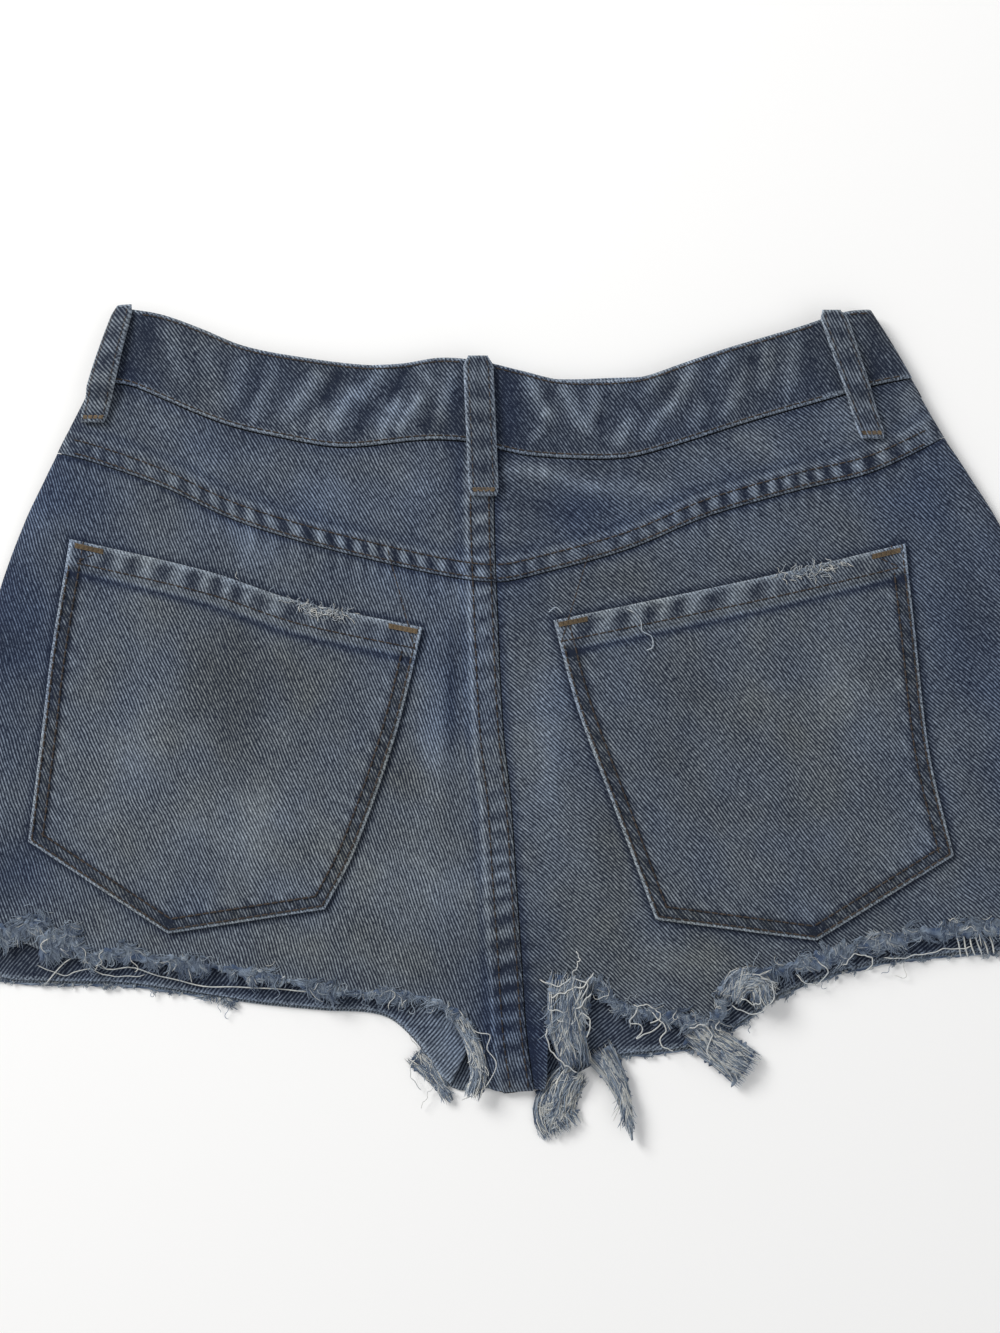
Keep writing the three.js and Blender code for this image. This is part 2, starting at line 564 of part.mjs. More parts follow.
function frontPanel(hand) {
  const place = frontPlace(hand);
  const rows = (u) => {
    const high = heightAt(place, u);
    return steps(high, FRONT_STEPS, [0, FRONT_EDGE_ROWS], CELLS.frontLow).map((d) => d / high);
  };
  return cloth(`front_panel_${hand.name}`, "denim", place, onFront, () => FRONT_COLUMNS, rows,
    () => [0, -CLOTH]);
}

function pocketFacing(hand) {
  const way = Math.sign(hand.side(0));
  const place = between({ upper: moved(frontSeam, -SEAM_GAP / 2),
    lower: moved(frontSeam, -FACING.long), inner: () => way * FACING.inner, outer: hand.side });
  const columns = (v) => {
    const wide = widthAt(place, v);
    return steps(wide, [0], TURN_STEPS, CELLS.facing).map((d) => d / wide);
  };
  const rows = () => steps(FACING.long, FRONT_STEPS, [0], CELLS.facingLow)
    .map((d) => d / FACING.long);
  return cloth(`pocket_facing_${hand.name}`, "denim_dark", place, onFront, columns, rows,
    () => [-FACING.low, -FACING.high]);
}

// Straight strip inside the fly, hung under the band's seam.
function flyStrip(name, finish, left, right, top, long, low, high) {
  const hang = frontSeam(FRONT_CENTRE) - top;
  const place = (u, v) => [mix(left, right, u), mix(hang, hang - long, v)];
  const inside = FRONT_STEPS.map((d) => (d - top) / long).filter((v) => v > 0 && v < 1);
  return cloth(name, finish, place, onFront, () => even(2), () => [0, ...inside, 1],
    () => [-low, -high]);
}

function fly() {
  const { top, slider, long, chain, tape, low, high, stand } = ZIP;
  const [from, to] = [FLAP_EDGE - chain, FLAP_EDGE + chain];
  return [
    flyStrip("zip_tape_left", "tape", FLAP_EDGE - tape, from - SEAM_GAP, top, long, low, high),
    flyStrip("zip_tape_right", "tape", to + SEAM_GAP, FLAP_EDGE + tape, top, long, low, high),
    flyStrip("zip_chain", "metal", from, to, top + slider + SEAM_GAP, long - slider - SEAM_GAP,
      low, high),
    flyStrip("zip_slider", "metal", from, to, top, slider, low, stand - SEAM_GAP),
    flyStrip("fly_shield", "denim_dark", SHIELD.left, SHIELD.right, SHIELD.top, SHIELD.long,
      SHIELD.low, SHIELD.high),
  ];
}

function button() {
  const { radius, rim, high, sides } = BUTTON;
  const geometry = new THREE.CylinderGeometry(radius, rim, high, sides);
  geometry.rotateX(Math.PI / 2);
  const mesh = new THREE.Mesh(geometry, new THREE.MeshStandardMaterial(FINISH.metal));
  mesh.name = "waist_button";
  mesh.position.set(FRONT_CENTRE + 1, frontTop(FRONT_CENTRE) - BAND_HEIGHT / 2, high / 2);
  return mesh;
}

// ---- hems ----------------------------------------------------------------------------
// The front's raw edge is turned up and shows under the back's hem.
function hemTurn(hand) {
  const [back, front] = [backPlace(hand), frontPlace(hand)];
  const share = (u) => mix(HEM_TURN.start, HEM_TURN.end, u);
  const upper = (u) => back(share(u), HEM_TURN.upper);
  const lower = (u) => front(share(u), HEM_TURN.lower);
  const straight = (u) => (v) => [0, 1].map((k) => mix(upper(u)[k], lower(u)[k], v));
  const place = patch({ upper, lower, inner: straight(0), outer: straight(1) });
  return cloth(`hem_turn_${hand.name}`, "denim_dark", place, onFront,
    () => even(CELLS.hemTurn), () => even(3), () => [-CLOTH - SEAM_GAP, -2 * CLOTH - SEAM_GAP]);
}

// Loose threads along a hem: a thin strip from the cloth's edge to their reach.
function fray(name, place, surface, start, columns, faces) {
  const reach = through(FRAY_REACH[name], "at", "out");
  const shares = columns.filter((u) => u >= start);
  const strip = (u, v) => {
    const [a, b] = [place(clamp(u - FRAY_NUDGE), 1), place(clamp(u + FRAY_NUDGE), 1)];
    const [p, inside] = [place(u, 1), place(u, FRAY_INSIDE)];
    const long = Math.hypot(b[0] - a[0], b[1] - a[1]);
    const normal = [(b[1] - a[1]) / long, (a[0] - b[0]) / long];
    const way = Math.sign(normal[0] * (p[0] - inside[0]) + normal[1] * (p[1] - inside[1]));
    const far = way * mix(SEAM_GAP, reach(u), v);
    return [p[0] + normal[0] * far, p[1] + normal[1] * far];
  };
  return cloth(`fray_${name}`, "fray", strip, surface, () => shares, () => even(1), () => faces);
}

function frays(hand) {
  const [back, front] = [backPlace(hand), frontPlace(hand)];
  const faces = [0, -FRAY_THICK];
  return [
    fray(`back_${hand.name}`, back, onBack, FRAY_START.back, backColumns(back, hand)(1), faces),
    fray(`front_${hand.name}`, front, onFront, FRAY_START.front, FRONT_COLUMNS, faces),
  ];
}

// ---- whole garment -------------------------------------------------------------------
const shorts = new THREE.Group();
shorts.name = "denim_shorts";
for (const hand of HANDS) {
  shorts.add(yoke(hand), backPanel(hand), backPocket(hand), waistbandFront(hand),
    frontPanel(hand), pocketFacing(hand), hemTurn(hand), ...frays(hand));
}
shorts.add(waistbandBack(), ...BACK_LOOPS.map(backLoop), ...FRONT_LOOPS.map(frontLoop));
shorts.add(...fly(), button(), ...TUFTS.map(tuftSolid));

// The middle of the whole outline stands over the origin.
const box = new THREE.Box3().setFromObject(shorts);
const middle = box.getCenter(new THREE.Vector3());
shorts.position.set(-middle.x, -middle.y, -box.min.z);

export default shorts;
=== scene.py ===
"""Cut-off denim shorts that lie with the front down: cloth, seams, stitches and raw hems."""
import logging
import math
from collections.abc import Callable, Iterable, Sequence
from dataclasses import dataclass, field
from enum import Enum

import bpy
import numpy as np
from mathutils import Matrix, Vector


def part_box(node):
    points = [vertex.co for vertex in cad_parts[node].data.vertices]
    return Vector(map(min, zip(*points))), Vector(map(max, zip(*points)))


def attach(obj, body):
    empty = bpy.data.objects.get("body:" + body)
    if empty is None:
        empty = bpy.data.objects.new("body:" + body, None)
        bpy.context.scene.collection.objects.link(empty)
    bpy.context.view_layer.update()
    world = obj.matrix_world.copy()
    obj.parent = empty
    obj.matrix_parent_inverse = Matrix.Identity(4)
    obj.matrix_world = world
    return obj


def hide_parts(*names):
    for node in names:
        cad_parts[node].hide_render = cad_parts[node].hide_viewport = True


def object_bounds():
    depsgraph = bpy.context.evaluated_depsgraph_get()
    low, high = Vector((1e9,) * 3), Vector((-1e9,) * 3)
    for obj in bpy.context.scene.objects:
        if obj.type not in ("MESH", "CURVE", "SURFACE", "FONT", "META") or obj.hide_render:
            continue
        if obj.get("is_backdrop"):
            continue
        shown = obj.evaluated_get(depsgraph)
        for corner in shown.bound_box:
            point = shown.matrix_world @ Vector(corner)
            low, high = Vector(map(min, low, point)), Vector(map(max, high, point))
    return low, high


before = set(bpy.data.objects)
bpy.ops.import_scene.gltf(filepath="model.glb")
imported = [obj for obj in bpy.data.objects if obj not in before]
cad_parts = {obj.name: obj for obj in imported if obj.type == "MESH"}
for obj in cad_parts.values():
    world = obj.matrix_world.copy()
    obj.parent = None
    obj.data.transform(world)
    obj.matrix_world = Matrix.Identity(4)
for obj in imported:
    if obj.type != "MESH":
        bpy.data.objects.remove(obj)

CAD_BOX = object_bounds()
LOG = logging.getLogger("denim_shorts")
MM = 0.001
SEED = 41
CROSSING_STEPS = 40
Array = np.ndarray
Edge = Callable[[Array], tuple[Array, Array]]
Place = Callable[[Array, Array], tuple[Array, Array]]

# ---- cloth and seams, in millimetres ------------------------------------------------------
CLOTH = 1.2
BAND_HALF = 1.2
SEAM_GAP = 0.3
LAY_GAP = 0.45
FELL_RISE = 0.8
FELL_WIDE = 11.6
YOKE_FELL = 8.6
FELL_SLOPE = 1.0
POCKET_HEM = 10.8
POCKET_HEM_RISE = 0.7
LOOP_THICK = 1.8
LOOP_ARCH = 0.9
LOOP_DROP = 7.0

# ---- heights over the floor ------------------------------------------------------------------
BACK_LOW = 5.7
BACK_HIGH = 8.6
BACK_HELD = 20.0
BACK_RUN = 58.0
FRONT_HIGH = 3.0
FRONT_HELD = 24.0
FRONT_RUN = 28.0
SIDE_TURN = 12.0
CROTCH_X, CROTCH_Y, CROTCH_HALF, CROTCH_TURN, CROTCH_FADE = -1.0, -158.0, 9.5, 5.0, 4.0

# ---- layout of the front ---------------------------------------------------------------------
FRONT_CENTRE = -3.0
FLAP_EDGE = FRONT_CENTRE + 6.0
BAND_HEIGHT = 38.0
LAP_LEFT, LAP_RIGHT, LAP_DROP, LAP_CLEAR, LAP_RUN = 9.0, -17.0, 2.7, 8.0, 14.0
FACING_INNER, FACING_LONG, FACING_LOW, FACING_HIGH = 100.0, 76.0, 1.6, 2.6
MOUTH = ((118.0, 0.0), (121.0, 22.0), (131.0, 42.0), (150.0, 56.0))  # across, under the band
MOUTH_END = 63.0
FRONT_LOOPS = (("left", -96.0), ("right", 90.0))
FRONT_LOOP_WIDE, FRONT_LOOP_LONG, FRONT_LOOP_LOW, FRONT_LOOP_HIGH = 12.9, 58.0, 1.5, 3.0
BUTTON_HIGH = 1.5
TURN_LONG, TURN_START, TURN_END = 210.0, 0.12, 0.985  # the turned hem, in shares of the hem

# ---- outline: rows of height and of the left and right edge there -------------------------------
SIDES = (
    (-100, -238.5, 238.5), (-60, -238.5, 238), (-15, -236.5, 235.5), (10, -233, 232.5),
    (36, -228.5, 227.5), (62, -221.5, 220.5), (88, -211.5, 207.5), (107, -202, 195),
    (125, -193, 183), (147, -182, 170.5), (165, -174.5, 160), (179, -169, 151),
)
# rows of x and y
BAND_TOP = (
    (-170, 178.5), (-152, 175.5), (-135, 169.5), (-118, 162.5), (-100, 158.5), (-66, 154),
    (-49, 154.5), (-32, 157), (-15, 155.5), (2, 151.5), (20, 147.5), (52, 148.5), (71, 154.5),
    (90, 161), (122, 170.5), (140, 176.5), (152, 178),
)
BAND_SEAM = (
    (-182, 146.5), (-166, 145), (-152, 139.5), (-137, 133), (-122, 127.5), (-103, 123),
    (-75, 118.5), (-40, 121.5), (-22, 121), (-7, 117.5), (5, 115), (29, 113.5), (47, 114),
    (62, 117.5), (102, 130), (137, 140), (152, 144.5), (171, 148.5),
)
YOKE_SEAM = (
    (-198, 116.5), (-182, 112.5), (-152, 102), (-122, 88), (-93, 78.5), (-60, 70),
    (-30, 63.5), (-8, 61), (10, 64.5), (48, 75), (82, 89), (122, 100.5), (148, 106.5),
    (162, 112), (184, 123),
)
FRONT_EDGE = (
    (-170, 0), (-120, -4), (-60, -5), (-20, -3), (12, 0), (38, 1.8), (62, 0), (100, -4), (152, 0),
)
# rows of y and x
BACK_SEAM = (
    (-158, 7.7), (-133, 4.4), (-100, 2.2), (-67, 0), (-34, -2.2), (-2, -5.6), (53, -8.2),
    (96, -9.5), (124, -8),
)
# raw hems, from the crotch out to the side: rows of x and y
BACK_HEM = {
    "left": ((7.7, -158), (-10.5, -158), (-15, -144), (-20, -131), (-28, -122.5), (-42, -117),
             (-71, -115), (-97, -110), (-125, -104.5), (-164, -100), (-195, -100.5),
             (-221, -90), (-238.5, -86)),
    "right": ((7.7, -158), (12.5, -157), (14, -138), (20, -116), (33, -110), (45, -121),
              (65, -124.5), (84, -126.5), (92, -112), (117, -104), (153, -93.5), (192, -87),
              (238.5, -86)),
}
FRONT_HEM = {
    "left": ((3, -158), (-14, -158), (-25, -158.5), (-33, -153), (-43, -138), (-57, -126.5),
             (-84, -124), (-110, -121.5), (-144, -116.5), (-170, -113), (-200, -112.5),
             (-224, -110), (-238.5, -94)),
    "right": ((3, -158), (14, -158), (25, -152), (40, -145), (60, -142.5), (80, -139.5),
              (97, -130), (112, -119), (135, -109.5), (160, -103.5), (192, -100), (222, -98),
              (238.5, -92)),
}
POCKETS = {
    "left": {"top": ((-40, 41.5), (-94, 53), (-132, 65.5), (-191.5, 79.5)),
             "inner": ((-40, 41.5), (-52, -6), (-69, -54), (-82, -79.5)),
             "outer": ((-191.5, 79.5), (-199.5, 31.5), (-203.5, -2), (-209.5, -50.5)),
             "point": (-149.5, -90)},
    "right": {"top": ((16, 44.5), (62.5, 54), (116.5, 65.5), (167, 77.5)),
              "inner": ((16, 44.5), (26, 7.5), (41.5, -34.5), (60, -84)),
              "outer": ((167, 77.5), (171, 42.5), (177.5, -12.5), (188, -56.5)),
              "point": (129, -93)},
}


@dataclass(frozen=True)
class LoopCut:
    """A back belt loop's two ends."""

    name: str
    top_left: float
    top_right: float
    top: float
    low_left: float
    low_right: float
    low: float
    ridge: float


BACK_LOOPS = (
    LoopCut("back_left", -169, -162, 179.5, -186, -175.5, 129, 0),
    LoopCut("back_centre", -22.8, -9.9, 157.5, -20.2, -7.3, 97.5, FELL_RISE),
    LoopCut("back_right", 128.5, 140.5, 177, 147, 158.2, 122, 0),
)


@dataclass(frozen=True)
class Fold:
    """A soft ridge, or a trough where its height is negative, between two ends."""

    x1: float
    y1: float
    x2: float
    y2: float
    wide: float = 1.0
    high: float = 0.0

    def away(self, x: Array, y: Array) -> Array:
        """Distance of each place from the straight run between the ends.

        Args:
            x: places across.
            y: places up the garment.

        Returns:
            The distances.
        """
        dx, dy = self.x2 - self.x1, self.y2 - self.y1
        along = ((x - self.x1) * dx + (y - self.y1) * dy) / (dx * dx + dy * dy)
        along = np.clip(along, 0, 1)
        return np.hypot(x - self.x1 - along * dx, y - self.y1 - along * dy)


LARGE_FOLDS = tuple(Fold(*row) for row in (
    (-36, 42, -41, -30, 14, 0.9), (-22, 24, -18, -40, 11, -0.4), (16, 30, 14, -48, 14, 0.7),
    (-48, -46, -72, -92, 18, 1.0), (-122, 42, -90, -22, 15, -0.6), (-150, 10, -165, -60, 22, 0.7),
    (90, 20, 118, -60, 24, 0.8), (40, 96, 84, 108, 14, 0.6),
))
CREASES = tuple(Fold(*row) for row in (
    # waistband, left of the centre loop
    (-148, 168, -143, 150, 4.0, 0.4), (-133, 160, -128, 138, 4.5, 0.35),
    (-117, 155, -121, 140, 3.5, 0.4), (-104, 152, -112, 132, 3.2, 0.5),
    (-99, 131, -94, 126, 3.0, 0.4), (-85, 148, -95, 136, 3.4, 0.8),
    (-83, 134, -88, 124, 2.6, 0.5), (-70, 142, -79, 127, 3.2, 0.85),
    (-57, 152, -66, 140, 2.8, 0.7), (-51, 137, -58, 124, 3.2, 0.8),
    (-41, 140, -49, 127, 2.6, 0.9), (-40, 152, -37, 146, 3.0, 0.5),
    (-27, 150, -33, 134, 3.2, 0.7), (-76, 150, -84, 136, 2.2, -0.45),
    (-63, 135, -68, 126, 2.0, -0.4), (-48, 150, -54, 140, 2.2, -0.5),
    (-34, 138, -38, 128, 2.2, -0.5), (-109, 148, -115, 136, 2.2, -0.3),
    # waistband, right of it
    (6, 146, 12, 134, 3.0, 0.8), (14, 132, 8, 122, 2.6, 0.5), (20, 144, 27, 130, 3.4, 0.7),
    (34, 142, 31, 126, 2.8, 0.6), (44, 146, 38, 134, 2.6, 0.5), (50, 132, 44, 121, 3.2, 0.85),
    (60, 148, 54, 138, 2.6, 0.6), (63, 134, 56, 124, 3.0, 0.7), (75, 152, 66, 136, 3.4, 0.8),
    (80, 138, 76, 128, 2.6, 0.5), (90, 156, 84, 144, 2.8, 0.55), (98, 150, 90, 133, 3.0, 0.6),
    (108, 160, 106, 146, 3.0, 0.5), (119, 164, 116, 142, 3.2, 0.45),
    (142, 172, 150, 152, 2.6, 0.4), (16, 143, 10, 136, 2.0, -0.4), (41, 140, 36, 130, 2.2, -0.5),
    (56, 140, 50, 132, 2.0, -0.45), (69, 146, 62, 136, 2.2, -0.5), (86, 148, 80, 138, 2.2, -0.4),
    (102, 156, 98, 146, 2.2, -0.35),
    # yoke
    (-4, 109, 12, 107, 2.8, 1.0), (12, 107, 34, 101, 3.0, 0.9), (34, 101, 64, 100, 3.2, 0.7),
    (2, 96, 24, 88, 3.5, -0.35), (24, 108, 52, 108, 3.0, -0.3), (-60, 112, -38, 98, 5.0, 0.4),
    (-112, 114, -92, 104, 5.0, 0.4), (-150, 128, -132, 112, 6.0, 0.4),
    (96, 122, 118, 112, 5.0, 0.4), (140, 134, 160, 122, 5.0, 0.4), (166, 140, 172, 126, 4.0, 0.4),
    # panels
    (-116, 82, -113, 68, 4.0, 0.5), (-58, 62, -70, 50, 5.0, 0.35), (-25, 56, -31, 20, 4.5, 0.5),
    (-30, 20, -33, -30, 4.0, 0.5), (-24, 40, -26, -10, 3.5, -0.4),
    (-40, -40, -30, -88, 8.0, 0.45), (-20, -70, -14, -120, 6.0, 0.4), (12, 52, 5, 18, 4.0, -0.35),
    (14, 12, 20, -44, 6.0, 0.5), (26, -40, 36, -84, 7.0, 0.4), (56, -100, 96, -106, 8.0, 0.45),
    (196, 92, 214, 40, 7.0, 0.5), (206, 20, 214, -40, 9.0, 0.45), (-206, 88, -216, 44, 7.0, 0.5),
    (-220, 20, -226, -50, 8.0, 0.45), (-120, -94, -70, -100, 8.0, 0.4),
    # pockets
    (-128, 30, -118, -28, 7.0, -0.35), (-150, 22, -160, -30, 9.0, 0.4),
    (-100, 8, -112, -58, 8.0, 0.4), (-172, -40, -150, -70, 7.0, 0.45),
    (-122, -62, -96, -70, 6.0, 0.4), (76, 34, 70, -22, 9.0, -0.35), (100, 30, 112, -24, 9.0, 0.4),
    (142, 28, 150, -30, 8.0, 0.4), (84, -56, 110, -66, 7.0, 0.4), (150, -44, 166, -58, 6.0, 0.4),
))


@dataclass(frozen=True)
class StainAndShade:
    """A soft place in the dye: lighter (or darker) wash, and a browner (or bluer) tint; some are
    stains and fade, others painted highlight on ridges and painted shade at the sides and beside
    the loops.
    """

    x: float
    y: float
    wide: float
    tall: float
    wash_and_shade: float
    tint: float = 0.0


STAINS_AND_SHADE = tuple(StainAndShade(*row) for row in (
    # lighter places: worn fade, and painted highlight on the lit ridges at x -37 and x -114
    (-50, -70, 28, 18, 0.40), (12, -15, 10, 40, 0.32, -0.1), (-37, 0, 7, 38, 0.50, -0.3),
    (-172, -12, 24, 26, 0.30), (-115, -48, 32, 16, 0.40), (132, 8, 22, 26, 0.28),
    (-114, 79, 6, 12, 0.40), (-74, 98, 28, 10, 0.25), (94, 84, 26, 7, 0.25),
    (-20, 55, 6, 14, 0.40, -0.2), (-70, 130, 46, 8, 0.20), (70, -104, 30, 12, 0.20),
    (-160, -98, 30, 8, 0.15),
    # darker places: unfaded indigo, and painted shade at the turned sides and beside the belt
    # loops
    # the sides and the yoke's ends, to (170, 96): painted shade where the cloth turns under, with
    # less worn indigo
    (-216, 38, 20, 44, -0.75, -0.6), (-222, -60, 22, 20, -0.60, -0.5),
    (196, 48, 20, 44, -0.50, -0.6), (218, -20, 16, 50, -0.45, -0.55),
    (-190, 96, 22, 22, -0.30, -0.5), (170, 96, 22, 24, -0.25, -0.5),
    # to (-188, 132): painted shade beside the three back belt loops, with unfaded indigo there
    (-4, 134, 7, 27, -0.60, -0.4), (-26, 128, 4, 28, -0.55, -0.3),
    (-158, 166, 5, 10, -0.70, -0.2), (-166, 147, 5, 14, -0.60, -0.2), (152, 154, 6, 15, -0.65),
    (162, 136, 4, 10, -0.6), (126, 154, 4, 18, -0.5), (-188, 132, 4, 14, -0.7),
    (22, 94, 24, 14, -0.45, -0.5), (-90, 100, 70, 26, -0.18, -0.1),
    (90, 104, 70, 26, -0.14, -0.1), (100, -100, 70, 16, -0.22, 0.1), (110, -20, 60, 50, -0.10),
    (-136, 122, 20, 8, -0.25, -0.3), (4, 58, 9, 24, -0.45, -0.3), (-10, -128, 9, 20, -0.60, -0.7),
    (10, -140, 6, 22, -0.65, -0.9), (-20, -100, 14, 14, -0.30, -0.2),
    (-120, 14, 10, 28, -0.22, 0.0), (-28, 12, 3, 28, -0.50, -0.4), (-184, 64, 8, 4, -0.50),
    (-52, 36, 8, 4, -0.45), (25, 34, 7, 4, -0.60), (158, 64, 9, 5, -0.50),
    (-50, -26, 12, 16, -0.22, 0.1), (34, -46, 14, 26, -0.14, 0.1), (44, 62, 22, 7, -0.15, 0.1),
    # tint alone
    (-122, 16, 36, 46, 0.0, 0.26), (-62, -40, 28, 36, 0.0, 0.28), (40, -60, 28, 36, 0.0, 0.26),
    (-155, -35, 44, 38, 0.0, 0.14), (105, -8, 52, 50, 0.0, 0.16), (-75, -98, 50, 14, 0.0, 0.3),
    (66, -108, 36, 16, 0.0, 0.35), (-66, 140, 70, 18, 0.0, -0.2), (70, 138, 70, 18, 0.0, -0.2),
    (-52, 62, 26, 9, 0.0, -0.5), (-80, 92, 60, 16, 0.0, -0.25), (74, 96, 60, 16, 0.0, -0.25),
    (-18, 30, 8, 30, 0.0, -0.5), (18, 0, 10, 40, 0.0, -0.35), (-32, 25, 8, 26, -0.35, -0.35),
    (-21, 10, 4, 32, 0.30, 0.0), (-112, 22, 26, 26, -0.24, 0.30), (-118, -34, 34, 14, 0.20, 0.0),
    (2, -112, 16, 30, -0.40, -0.2), (90, 14, 30, 20, -0.12, 0.2),
))
# how much the creases add to the wash, more towards the waist: rubbed wear and painted highlight
# on their tops, painted shade in their troughs
CREASE_WEAR_SHADE_FROM, CREASE_WEAR_SHADE_RUN, CREASE_WEAR_SHADE_LOW, CREASE_WEAR_SHADE_HIGH = 66.0, 20.0, 0.35, 0.68  # creases' wash


# ---- curves and paths -----------------------------------------------------------------------
def mix(a: Array | float, b: Array | float, t: Array | float) -> Array | float:
    """Straight mix of two values."""
    return a + (b - a) * t


def ease(t: Array | float) -> Array:
    """Soft step: 0 below 0, 1 above 1, and three t squared less two t cubed between."""
    held = np.clip(t, 0.0, 1.0)
    return held**2 * (3 - 2 * held)


def bell(distance: Array, wide: Array | float) -> Array:
    """Bell curve: e to the minus square of the distance over the width."""
    return np.exp(-((distance / wide) ** 2))


def stations_of(points: Array) -> Array:
    """Distance along a path to each of its points."""
    gaps = np.linalg.norm(np.diff(points, axis=0), axis=1)
    return np.concatenate([[0.0], np.cumsum(gaps)])


class Curve:
    """Smooth line through a table's rows, held level past its two ends."""

    def __init__(self, keys: Sequence[float], values: Sequence[float]) -> None:
        """Keeps the rows and the slope at each.

        Args:
            keys: where each row stands, rising.
            values: the line's value there.
        """
        self.keys = np.asarray(keys, float)
        self.values = np.asarray(values, float)
        last = len(self.keys) - 1
        before = np.clip(np.arange(last + 1) - 1, 0, last)
        after = np.clip(np.arange(last + 1) + 1, 0, last)
        rise = self.values[after] - self.values[before]
        self.slopes = rise / (self.keys[after] - self.keys[before])

    def __call__(self, at: Array | float) -> Array:
        """Cubic between the two nearest rows, with their slopes.

        Args:
            at: where the line is read.

        Returns:
            Its values there.
        """
        held = np.clip(np.asarray(at, float), self.keys[0], self.keys[-1])
        i = np.clip(np.searchsorted(self.keys, held, side="left") - 1, 0, len(self.keys) - 2)
        span = self.keys[i + 1] - self.keys[i]
        t = (held - self.keys[i]) / span
        straight = mix(self.values[i], self.values[i + 1], t)
        rise = (self.values[i + 1] - self.values[i]) / span
        lean = (self.slopes[i] - rise) * (1 - t) - (self.slopes[i + 1] - rise) * t
        return straight + t * (1 - t) * span * lean


class Path:
    """Path through points, read by its share of the length."""

    def __init__(self, points: Sequence[Sequence[float]]) -> None:
        """Measures the points' distances along the path.

        Args:
            points: rows of coordinates.
        """
        rows = np.asarray(points, float)
        stations = stations_of(rows[:, :2])
        self.length = float(stations[-1])
        self.lines = [Curve(stations, rows[:, k]) for k in range(rows.shape[1])]

    def __call__(self, t: Array | float) -> tuple[Array, ...]:
        """The coordinates at shares of the length."""
        return tuple(line(np.asarray(t, float) * self.length) for line in self.lines)


def patch(upper: Edge, lower: Edge, inner: Edge, outer: Edge) -> Place:
    """Flat piece inside four edges: the two ways of mixing opposite edges, less the corners.

    Args:
        upper: top edge, read from the inner corner outwards.
        lower: bottom edge, read the same way.
        inner: edge at the middle, read downwards.
        outer: edge at the side, read downwards.

    Returns:
        Function of the shares across and down.
    """
    a, b, c, d = (edge(np.float64(t)) for edge, t in
                  ((upper, 0.0), (upper, 1.0), (lower, 0.0), (lower, 1.0)))

    def place(u: Array, v: Array) -> tuple[Array, Array]:
        """The point at shares across and down.

        Args:
            u: shares across.
            v: shares down.

        Returns:
            The points.
        """
        top, low, left, right = upper(u), lower(u), inner(v), outer(v)
        x, y = (
            (1 - v) * top[k] + v * low[k] + (1 - u) * left[k] + u * right[k]
            - (1 - u) * ((1 - v) * a[k] + v * c[k]) - u * ((1 - v) * b[k] + v * d[k])
            for k in (0, 1)
        )
        return x, y

    return place


def across(line: Callable, start: float, end: float) -> Edge:
    """A level line between two values of x."""
    return lambda u: (mix(start, end, u), line(mix(start, end, u)))


def down(edge: Callable, start: float, end: float) -> Edge:
    """An upright edge between two values of y."""
    return lambda v: (edge(mix(start, end, v)), mix(start, end, v))


def corner(edge: Callable, line: Callable) -> tuple[float, float]:
    """Where an upright edge and a level line cross, by going from one to the other.

    Args:
        edge: x of the upright edge at a height.
        line: height of the level line at an x.

    Returns:
        The crossing.
    """
    y = 0.0
    for _ in range(CROSSING_STEPS):
        y = float(line(edge(y)))
    return float(edge(y)), y


def between(upper: Callable, lower: Callable, inner: Callable, outer: Callable) -> Place:
    """Piece between two level lines and two upright edges.

    Args:
        upper: top line, its height at an x.
        lower: bottom line.
        inner: edge at the middle, its x at a height.
        outer: edge at the side.

    Returns:
        Function of the shares across and down.
    """
    a, b, c, d = (corner(edge, line) for edge, line in
                  ((inner, upper), (outer, upper), (inner, lower), (outer, lower)))
    return patch(across(upper, a[0], b[0]), across(lower, c[0], d[0]),
                 down(inner, a[1], c[1]), down(outer, b[1], d[1]))


def moved(line: Callable, by: float) -> Callable:
    """The same line, moved."""
    return lambda t: line(t) + by


def upright(x: float) -> Callable:
    """A straight upright edge at one value of x."""
    return lambda y: x + 0.0 * np.asarray(y, float)


@dataclass(frozen=True)
class Spread:
    """Distances of a grid's lines over a length: close ones at both ends, even ones between."""

    first: tuple[float, ...]
    last: tuple[float, ...]
    count: int

    @property
    def lines(self) -> int:
        """How many lines it has."""
        return len(self.first) + self.count - 1 + len(self.last)

    def at(self, index: Array, total: Array | float) -> Array:
        """Distance of each line from the start.

        Args:
            index: the lines' numbers.
            total: the length at each.

        Returns:
            The distances.
        """
        first, last = np.asarray(self.first), np.asarray(self.last)[::-1]
        inside = len(first) + self.count - 1
        share = (index - len(first) + 1) / self.count
        middle = mix(first[-1], total - last[0], share)
        head = first[np.clip(index, 0, len(first) - 1)]
        tail = total - last[np.clip(index - inside, 0, len(last) - 1)]
        return np.where(index < len(first), head, np.where(index >= inside, tail, middle))


RIM = (0.0, 0.12, 0.35, 0.75)  # lines that round a cut or folded edge
TURN = RIM + (1.6, 3.5, 5.5, 7.6, SIDE_TURN)  # lines that round a side


def rimmed(long: float, count: int) -> Array:
    """Lines over a length: the rim's own at both ends and even ones between.

    Args:
        long: the length.
        count: how many lines lie from one rim to the other.

    Returns:
        Their distances from the start.
    """
    rim = np.array(RIM)
    inside = np.linspace(rim[-1], long - rim[-1], count)[1:-1]
    return np.concatenate([rim, inside, long - rim[::-1]])


# ---- the garment's form --------------------------------------------------------------------
class Face(Enum):
    """Which of the two outer faces a piece lies on."""

    BACK = "back"
    FRONT = "front"


